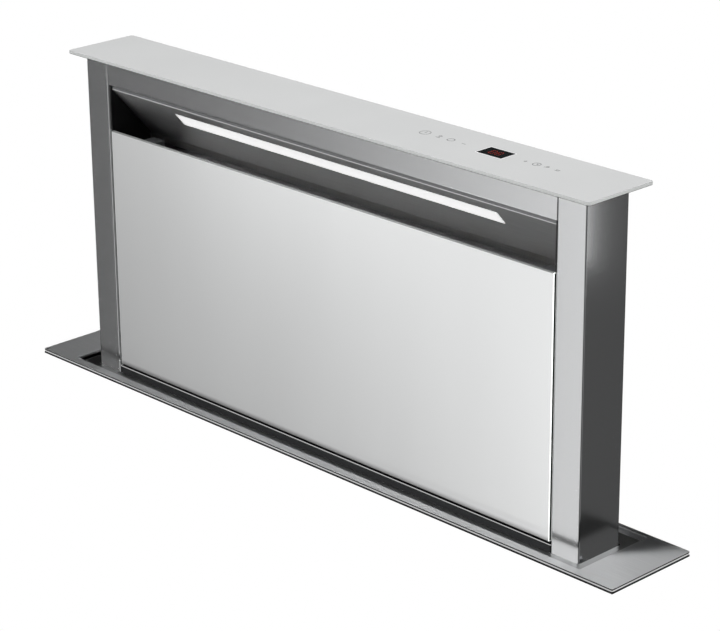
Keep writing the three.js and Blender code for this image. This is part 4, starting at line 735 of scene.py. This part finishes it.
front_glass = refined("front_glass_panel", 0.8 * MM, shape=ground_in, sheet_finish=panel_glass,
                      zones=((glass_edge, lambda face: bent(face) and at_side(face)),
                             (glass_side_shade, at_side), (glass_top, lambda face: face.normal.z > 0.3)))
light_only(panel_lamps, "lit by the panel lamps", [front_glass])
# The cap's lower arris is painted black as shade, and its edge carries a painted highlight.
refined("cap_glass", 0.5 * MM, segments=3,
        zones=((glass_side_shade, lambda face: bent(face) and face.normal.z < -0.3),
               (cap_edge, lambda face: abs(face.normal.z) < 0.3)))

# %% Riser and intake
for node in ("post_right", "post_left"):
    refined(node, 1.2 * MM, segments=4, zones=((bend_steel, bent),))
refined("lintel", 0.3 * MM,
        zones=((shaded_steel, lambda face: face.normal.z < -0.3), (arris_steel, bent)))
# The lower panel is painted dark as shade, and its upward fold carries a painted highlight.
refined("lower_front_panel", 0.3 * MM, sheet_finish=dark_shade_steel,
        zones=((arris_highlight_steel, lambda face: 0.35 < face.normal.z < 0.95),))
refined("back_panel", 0.12 * MM)
# The filter frame is painted greyer as shade.
refined("filter_frame", 0.12 * MM, sheet_finish=intake_shade_steel)
LIP_FACE_Y, LIP_BEND_Z = -25.9 * MM, 335.3 * MM


def ceiling_lip(face):
    """The front face of the light ceiling's lip."""
    return face.normal.y < -0.99 and face.calc_center_median().y < LIP_FACE_Y


def ceiling_bend(face):
    """The bend between the light ceiling's slope and its lip."""
    return bent(face) and face.normal.y < -0.8 and face.calc_center_median().z > LIP_BEND_Z


# The ceiling is painted greyer as shade, and its bend carries a painted highlight.
refined("light_ceiling", 0.12 * MM, sheet_finish=intake_shade_steel,
        zones=((shaded_steel, ceiling_lip), (arris_highlight_steel, ceiling_bend)))
for node in ("panel_catch_right", "panel_catch_left"):
    nodes[node].data.materials[0] = finishes["grey_plastic"]

# The frame behind the glass is painted black as shade, so that its hooks don't shine through the
# gap below it.
nodes["panel_frame"].data.materials[0] = finish(
    "steel painted black as shade", 3 * MM, ("121314", "1C1D1E"), (0.48, 0.62), 0.4, relief=0.01 * MM)

# %% [markdown]
# ## Printed touch keys
#
# The touch keys are printed in grey on the cap's glass, as plain signs such as a power sign,
# minus, plus and a timer. Each is drawn in strokes 0.7 mm wide, laid on the glass a twentieth of
# a millimetre high, the least that the renderer keeps apart from it.

# %% Touch key print
CAP_TOP = 374.5
KEY_LINE = 0.7
KEY_Y = 8.5


def ribbon(form, points, width, closed=False, rise=0.05):
    """Add a flat ribbon on the cap, in mm, along a chain of points."""
    ends = list(points) + ([points[0]] if closed else [])
    for (x0, y0), (x1, y1) in zip(ends, ends[1:]):
        along = Vector((x1 - x0, y1 - y0, 0)).normalized()
        side = Vector((-along.y, along.x, 0)) * width / 2
        start, end = Vector((x0, y0, CAP_TOP)), Vector((x1, y1, CAP_TOP))
        low = [start - side, end - side, end + side, start + side]
        base = [form.verts.new(p * MM) for p in low]
        top = [form.verts.new((p + Vector((0, 0, rise))) * MM) for p in low]
        form.faces.new(top)
        form.faces.new(base[::-1])
        for i in range(4):
            j = (i + 1) % 4
            form.faces.new((base[i], base[j], top[j], top[i]))


def arc(x, y, radius, steps=28):
    """Points round a circle."""
    return [(x + radius * math.cos(math.tau * i / steps),
             y + radius * math.sin(math.tau * i / steps)) for i in range(steps)]


def keep(name, mesh, body):
    """Put a finished mesh in the scene as a piece that rides on a body."""
    piece = add_object(name, mesh)
    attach(piece, body)
    print(name, len(mesh.polygons), "faces")


def printed(name, strokes, material):
    """A piece of ribbons on the cap, from (points, settings) pairs."""
    form = bmesh.new()
    for points, settings in strokes:
        ribbon(form, points, **settings)
    mesh = bpy.data.meshes.new(name)
    form.to_mesh(mesh)
    form.free()
    mesh.materials.append(material)
    keep(name, mesh, "riser")


# Each sign's strokes, with y counted from the middle of the row, and what is special about them.
RING = {"closed": True}
STROKES = [(arc(123, 0, 5.8), RING), ([(123, 3.2), (123, -0.4)], {}),
           ([(140, -2.8), (146, -2.8)], {}), ([(143, -1.4), (143, 3.2)], {}),
           ([(140.8, 1.2), (143, 3.4), (145.2, 1.2)], {}), (arc(158.8, 0, 4.0), RING),
           ([(174.6, -1), (179.4, -1)], {}), ([(257, -0.5), (261, -0.5)], {}),
           ([(259, -2.5), (259, 1.5)], {"rise": 0.055}), (arc(273, 0, 4.2), RING),
           ([(273, 2.4), (273, 0), (275, 0)], {}), ([(283.4, -1.5), (288.4, 0.7)], {}),
           (arc(286, 1.6, 1.2, steps=10), {"closed": True, "width": KEY_LINE * 0.8}),
           ([(297.5, -1.8), (302.5, -1.8)], {}), ([(297.5, 0.6), (302.5, 0.6)], {})]
key_ink = finish("grey screen print", 0.8 * MM, ("5F6163", "6E7072"), (0.45, 0.55))
printed("cap_touch_print", [([(x, KEY_Y + y) for x, y in points], {"width": KEY_LINE, **special})
                            for points, special in STROKES], key_ink)

# %% [markdown]
# ## The display
#
# The display is a black window in the paint with two red digits behind it, and a thin white line
# round it. The digits are seven bars each, and every bar is two short LEDs, so the figures look
# dashed. They glow just enough to read as lit.

# %% Display
DISPLAY_X, DISPLAY_Y, DISPLAY_W, DISPLAY_D = 220.0, 8.0, 33.0, 22.0
BORDER, BORDER_OUT = 0.9, 0.4
window_glass = finish("black display window", 1 * MM, ("1B1E1F", "202425"), (0.1, 0.16), IOR=1.5)
across = [(DISPLAY_X + side * DISPLAY_W / 2, DISPLAY_Y) for side in (-1, 1)]
printed("cap_display_window", [(across, {"width": DISPLAY_D, "rise": 0.04})], window_glass)

half_w, half_d = DISPLAY_W / 2 + BORDER_OUT, DISPLAY_D / 2 + BORDER_OUT
CORNERS = ((-1, -1), (1, -1), (1, 1), (-1, 1))
around = [(DISPLAY_X + sx * half_w, DISPLAY_Y + sy * half_d) for sx, sy in CORNERS]
# The border is white print, and a little emission on it is a painted glow.
border_print_glow = finish("white print with painted glow", 1 * MM, ("FAFAFA", "FFFFFF"), (0.25, 0.35),
                      Emission_Color=WHITE, Emission_Strength=0.15)
printed("cap_display_border", [(around, {"width": BORDER, "closed": True, "rise": 0.06})],
        border_print_glow)

# %% Digits
DIGIT_W, DIGIT_H, DIGIT_SHIFT, BAR = 5.2, 9.4, 4.2, 0.7
BARS = ([((-0.5, y), (0.5, y)) for y in (0.5, 0.0, -0.5)]
        + [((x, y), (x, y + 0.5)) for y in (0.0, -0.5) for x in (-0.5, 0.5)])
LEDS = ((0.12, 0.40), (0.60, 0.88))  # where each bar's two LEDs begin and end, as shares of it
lit_red = finish("lit red LED", 0.7 * MM, ("96241B", "A83026"), (0.35, 0.45),
                 Emission_Color=linear("C02418"), Emission_Strength=0.25)
dashes = [[(middle + DIGIT_W * (x0 + (x1 - x0) * t), DISPLAY_Y + DIGIT_H * (y0 + (y1 - y0) * t))
           for t in led]
          for middle in (DISPLAY_X - DIGIT_SHIFT, DISPLAY_X + DIGIT_SHIFT)
          for (x0, y0), (x1, y1) in BARS for led in LEDS]
printed("cap_display_digits", [(dash, {"width": BAR, "rise": 0.07}) for dash in dashes], lit_red)

# %% [markdown]
# ## Growing what repeats
#
# Screws, rivets, ribs and fins come in rows and rings, and Geometry Nodes places one small shape
# on many points. Three helpers serve every tree: one starts it with a named input for each size,
# one closes it with real copies in their finish, and one runs it and keeps a plain mesh.

# %% Geometry Nodes helpers
def start_tree(title, **sizes):
    """A new tree with one input for each size, and the outputs of its input node by name."""
    tree = bpy.data.node_groups.new(title, "GeometryNodeTree")
    kinds = {int: "NodeSocketInt", float: "NodeSocketFloat", tuple: "NodeSocketVector"}
    add_socket = tree.interface.new_socket
    add_socket("Geometry", in_out="INPUT", socket_type="NodeSocketGeometry")
    for name, value in sizes.items():
        socket = add_socket(name, in_out="INPUT", socket_type=kinds[type(value)])
        socket.default_value = value
    add_socket("Material", in_out="INPUT", socket_type="NodeSocketMaterial")
    add_socket("Geometry", in_out="OUTPUT", socket_type="NodeSocketGeometry")
    return tree, tree.nodes.new("NodeGroupInput").outputs


def close_tree(tree, given, geometry):
    """Make a tree's copies real, give them their finish and send them out."""
    real = add_node(tree, "GeometryNodeRealizeInstances", {"Geometry": geometry})
    dressed = add_node(tree, "GeometryNodeSetMaterial",
                       {"Geometry": real.outputs[0], "Material": given["Material"]})
    add_node(tree, "NodeGroupOutput", {"Geometry": dressed.outputs[0]})
    print(tree.name, "tree:", len(tree.nodes), "nodes")
    return tree


def copies(tree, points, shape, turning=(0, 0, 0)):
    """One shape on every point."""
    return add_node(tree, "GeometryNodeInstanceOnPoints",
                    {"Points": points, "Instance": shape, "Rotation": turning}).outputs[0]


def facing_along(tree, direction, axis):
    """The rotation that turns an axis towards a direction."""
    return add_node(tree, "FunctionNodeAlignRotationToVector", {"Vector": direction},
                    axis=axis).outputs[0]


def grow(name, tree, carrier, slot_name, material=None, body="housing", **sizes):
    """Run a tree on a carrier mesh and keep what it makes as a plain mesh that rides on a body."""
    maker = add_object(name + "_maker", carrier)
    growth = maker.modifiers.new("growth", "NODES")
    growth.node_group = tree
    sizes["Material"] = material or finishes[slot_name]
    for socket in tree.interface.items_tree:
        if socket.in_out == "INPUT" and socket.name in sizes:
            growth[socket.identifier] = sizes[socket.name]
    evaluated = maker.evaluated_get(bpy.context.evaluated_depsgraph_get())
    mesh = bpy.data.meshes.new_from_object(evaluated)
    bpy.data.objects.remove(maker)
    mesh.name = name
    keep(name, mesh, body)


print("growing helpers ready")

# %% [markdown]
# ### A tree for screw and rivet heads
#
# A fastener's head is a low truncated cone. A screw also has a socket: the top face is drawn in
# and then pushed down. A rivet is the same tree with its socket's depth at nil.

# %% Fastener tree
tree, given = start_tree("fasteners", radius=0.003, height=0.0015, shoulder=0.8, depth=0.0008,
                         sides=12)
top_radius = maths(tree, "MULTIPLY", given["radius"], given["shoulder"])
head = add_node(tree, "GeometryNodeMeshCone",
                {"Vertices": given["sides"], "Radius Top": top_radius,
                 "Radius Bottom": given["radius"], "Depth": given["height"]}).outputs
inset = add_node(tree, "GeometryNodeExtrudeMesh",
                 {"Mesh": head["Mesh"], "Selection": head["Top"], "Offset Scale": 0.0})
top_face = inset.outputs["Top"]
drawn_in = add_node(tree, "GeometryNodeScaleElements",
                    {"Geometry": inset.outputs["Mesh"], "Selection": top_face, "Scale": 0.5})
socket_cut = add_node(tree, "GeometryNodeExtrudeMesh",
                      {"Mesh": drawn_in.outputs[0], "Selection": top_face,
                       "Offset Scale": maths(tree, "MULTIPLY", given["depth"], -1.0)})
facing = add_node(tree, "GeometryNodeInputNamedAttribute", {"Name": "facing"},
                  data_type="FLOAT_VECTOR")
placed = copies(tree, given["Geometry"], socket_cut.outputs["Mesh"],
                facing_along(tree, facing.outputs[0], "Z"))
fastener_tree = close_tree(tree, given, placed)

# %% [markdown]
# ### Rivets and screws
#
# The casing's sheets are riveted to the side channels every 58 mm, but not where the control box
# lies. Screws hold the box's lid, the motor's flange and the riser's back panel, and each clamp
# has one bolt.

# %% Rivets and screws
def fasteners(name, places, radius, height, body="housing", **sizes):
    """A piece of fasteners, in mm, at (point, direction that it faces) places."""
    mesh = bpy.data.meshes.new("marks")
    mesh.from_pydata([Vector(point) * MM for point, _ in places], [], [])
    facing = mesh.attributes.new("facing", "FLOAT_VECTOR", "POINT")
    facing.data.foreach_set("vector", [float(v) for _, toward in places for v in toward])
    grow(name, fastener_tree, mesh, "galvanised", zinc_plate, body,
         radius=radius * MM, height=height * MM, **sizes)


OUT_FRONT, SIDES = (0, -1, 0), (-1, 1)
RIVET_X, RIVET_Y, RIVET_TOP, RIVET_PITCH, RIVET_ROWS = 391.0, 50.8, -22.7, 58, 11
BOX_X, BOX_Z, BOX_TOP, BOX_FOOT = -285.0, -145.0, -75, -215
rivet_levels = [RIVET_TOP - RIVET_PITCH * i for i in range(RIVET_ROWS)]
fasteners("casing_rivets", [((side * RIVET_X, face * RIVET_Y, z), (0, face, 0))
                            for side in SIDES for face in SIDES for z in rivet_levels
                            if not (face < 0 and side < 0 and BOX_FOOT < z < BOX_TOP)],
          2.4, 1.4, shoulder=0.6, depth=0.0)

lid_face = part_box("control_box_lid")[0].y / MM
fasteners("box_lid_screws", [((BOX_X + sx * 80, lid_face + 0.2, BOX_Z + sz * 60), OUT_FRONT)
                             for sx in SIDES for sz in SIDES], 3.4, 1.8, depth=1.1 * MM)

MOTOR_Z, SCREW_CIRCLE = -330.0, 54
motor_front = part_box("blower_motor")[0].y / MM
scroll_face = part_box("scroll_front")[0].y / MM
fasteners("motor_flange_screws",
          [((SCREW_CIRCLE * math.cos(a), scroll_face - 3.1, MOTOR_Z + SCREW_CIRCLE * math.sin(a)),
            OUT_FRONT) for a in (math.radians(60 * i + 30) for i in range(6))],
          3.2, 2.2, depth=1.4 * MM)

clamp_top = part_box("clamp_bracket_right")[1].z / MM
fasteners("clamp_bolts", [((side * 422.8, 0, clamp_top - 0.2), (0, 0, 1)) for side in SIDES],
          5.8, 4.2, depth=2.2 * MM, sides=6)
fasteners("back_panel_screws", [((side * 360, 29.8, z), (0, 1, 0))
                                for side in SIDES for z in (40, 110, 180, 250, 320)],
          2.6, 1.3, body="riser", depth=0.9 * MM)

# %% [markdown]
# ### A tree for rows of ribs
#
# Slats, ribs and teeth stand in a straight row. The tree puts a block on each point of a line.

# %% Row tree
tree, given = start_tree("row of ribs", count=6, start=(0.0, 0.0, 0.0), step=(0.0, 0.0, 0.0),
                         size=(0.001, 0.001, 0.001))
line = add_node(tree, "GeometryNodeMeshLine", {"Count": given["count"], "Offset": given["step"],
                                               "Start Location": given["start"]})
rib = add_node(tree, "GeometryNodeMeshCube", {"Size": given["size"]})
row_tree = close_tree(tree, given, copies(tree, line.outputs[0], rib.outputs["Mesh"]))

# %% Ribs on the control box lid
def mm(x, y, z):
    """A place or a size in millimetres, as metres."""
    return (x * MM, y * MM, z * MM)


NOTHING = bpy.data.meshes.new("nothing")
grow("box_lid_ribs", row_tree, NOTHING, "grey_plastic", count=9, step=mm(12, 0, 0),
     start=mm(BOX_X - 48, lid_face - 0.3, BOX_Z - 18), size=mm(3, 1.0, 56))

# %% [markdown]
# ### A tree for rings of fins
#
# Cooling fins, gland flutes and motor vents stand in a ring. The tree copies a block round a
# circle, turns each one outwards, and lays the ring down about its axis.

# %% Ring tree
tree, given = start_tree("ring of fins", count=24, radius=0.05, size=(0.001, 0.001, 0.001),
                         centre=(0.0, 0.0, 0.0), tilt=(0.0, 0.0, 0.0))
circle = add_node(tree, "GeometryNodeMeshCircle",
                  {"Vertices": given["count"], "Radius": given["radius"]})
spot = add_node(tree, "GeometryNodeInputPosition")
fin = add_node(tree, "GeometryNodeMeshCube", {"Size": given["size"]})
fins = copies(tree, circle.outputs[0], fin.outputs["Mesh"],
              facing_along(tree, spot.outputs[0], "X"))
ring = add_node(tree, "GeometryNodeTransform",
                {"Geometry": fins, "Translation": given["centre"], "Rotation": given["tilt"]})
ring_tree = close_tree(tree, given, ring.outputs[0])

# %% Fins, vents and gland flutes
ABOUT_Y = (math.pi / 2, 0.0, 0.0)
grow("motor_fins", ring_tree, NOTHING, "mesh_aluminium", count=30, radius=48.8 * MM,
     size=mm(3.0, 1.4, scroll_face - motor_front - 14),
     centre=mm(0, (motor_front + scroll_face) / 2, MOTOR_Z), tilt=ABOUT_Y)
grow("motor_vents", ring_tree, NOTHING, "black_plastic", count=18, radius=26 * MM,
     size=mm(16, 3.0, 0.8), centre=mm(0, motor_front, MOTOR_Z), tilt=ABOUT_Y)
grow("gland_flutes", ring_tree, NOTHING, "black_plastic", count=20, radius=10 * MM,
     size=mm(0.9, 1.4, 13), centre=mm(BOX_X, -73.3, -219))
grow("scroll_face_ribs", ring_tree, NOTHING, "grey_plastic", count=12, radius=82 * MM,
     size=mm(36, 2.2, 2.4), centre=mm(0, scroll_face, MOTOR_Z), tilt=ABOUT_Y)

# %% [markdown]
# ### A tree for seams and beads
#
# The scroll's two halves meet in a raised seam that follows the spiral, the duct's spigot carries
# two rolled beads that a clip grips, and the flange's seal ends in a thin lip. Each is a flat bar
# swept along a path of edges.

# %% Seam tree
tree, given = start_tree("seam", width=0.004, height=0.003)
spine = add_node(tree, "GeometryNodeMeshToCurve", {"Mesh": given["Geometry"]})
section = add_node(tree, "GeometryNodeCurvePrimitiveQuadrilateral",
                   {"Width": given["width"], "Height": given["height"]})
swept = add_node(tree, "GeometryNodeCurveToMesh",
                 {"Curve": spine.outputs[0], "Profile Curve": section.outputs[0],
                  "Fill Caps": True})
seam_tree = close_tree(tree, given, swept.outputs[0])


def seam(name, points, closed, slot_name, width, height):
    """A bar, in mm, swept through a chain of points."""
    count = len(points)
    mesh = bpy.data.meshes.new("chain")
    mesh.from_pydata([Vector(p) * MM for p in points],
                     [(i, (i + 1) % count) for i in range(count if closed else count - 1)], [])
    grow(name, seam_tree, mesh, slot_name, width=width * MM, height=height * MM)


# %% Scroll seam and duct beads
SPLIT_Y = -103.3
TONGUE = 50  # the part of the turn, in degrees, that the scroll's tongue takes
SCROLL_START, SCROLL_GROWTH, SEAM_OUT, SPIRAL_STEPS = 105, 45, 2.2, 48
spiral = []
for i in range(SPIRAL_STEPS + 1):
    degrees = (356 - TONGUE) * i / SPIRAL_STEPS
    reach = SCROLL_START + SCROLL_GROWTH * (1 - degrees / (360 - TONGUE)) + SEAM_OUT
    spiral.append((reach * math.cos(math.radians(degrees)), SPLIT_Y,
                   MOTOR_Z + reach * math.sin(math.radians(degrees))))
outlet_end = (152.2, SPLIT_Y, MOTOR_Z - 168)
seam("scroll_seam", [outlet_end] + spiral, False, "grey_plastic", 3.2, 5)
fasteners("scroll_clips", [(p, (p[0], 0, p[2] - MOTOR_Z)) for p in spiral[3::7]], 5, 2.6,
          shoulder=0.85, depth=0.8 * MM, sides=4)
DUCT_X, DUCT_Y, BEAD_RADIUS = 95, -130, 75.2
for level, name in ((-560, "duct_bead_upper"), (-580, "duct_bead_lower")):
    bead_path = [(x, y, level) for x, y in arc(DUCT_X, DUCT_Y, BEAD_RADIUS, steps=72)]
    seam(name, bead_path, True, "black_plastic", 1.6, 1.6)

# %% Lip of the flange's seal
LIP_X, LIP_MIDDLE, LIP_Y, LIP_Z = 439.2, -2.0, 57.2, 0.75
lip_path = [(sx * LIP_X, LIP_MIDDLE + sy * LIP_Y, LIP_Z) for sx, sy in CORNERS]
seam("flange_seal_lip", lip_path, True, "black_rubber", 1.4, 1.4)

# %% [markdown]
# ## Light on the housing
#
# The soft boxes for the housing fall on all its pieces below the worktop, on the impeller and the
# damper, and on the riser's back panel, but not on the flange or the seals. The housing's pieces
# are left out of mirrors, so that they don't shine in the riser's foot.

# %% Light linking
SEEN_FROM_ABOVE = {"flange_frame", "flange_frame_fine", "flange_seal", "flange_seal_lip",
                   "slot_wiper_seal"}
ALSO_LIT = {"impeller", "damper_flap_right", "damper_flap_left", "back_panel_fine",
            "back_panel_screws"}
lit_pieces = []
for piece in [o for o in bpy.context.scene.objects if o.type == "MESH"]:
    on_housing = piece.get("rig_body") == "housing" and piece.name not in SEEN_FROM_ABOVE
    if on_housing or piece.name in ALSO_LIT:
        lit_pieces.append(piece)
        piece.visible_glossy = not on_housing
light_only(housing_lamps, "lit by the housing lamps", lit_pieces)
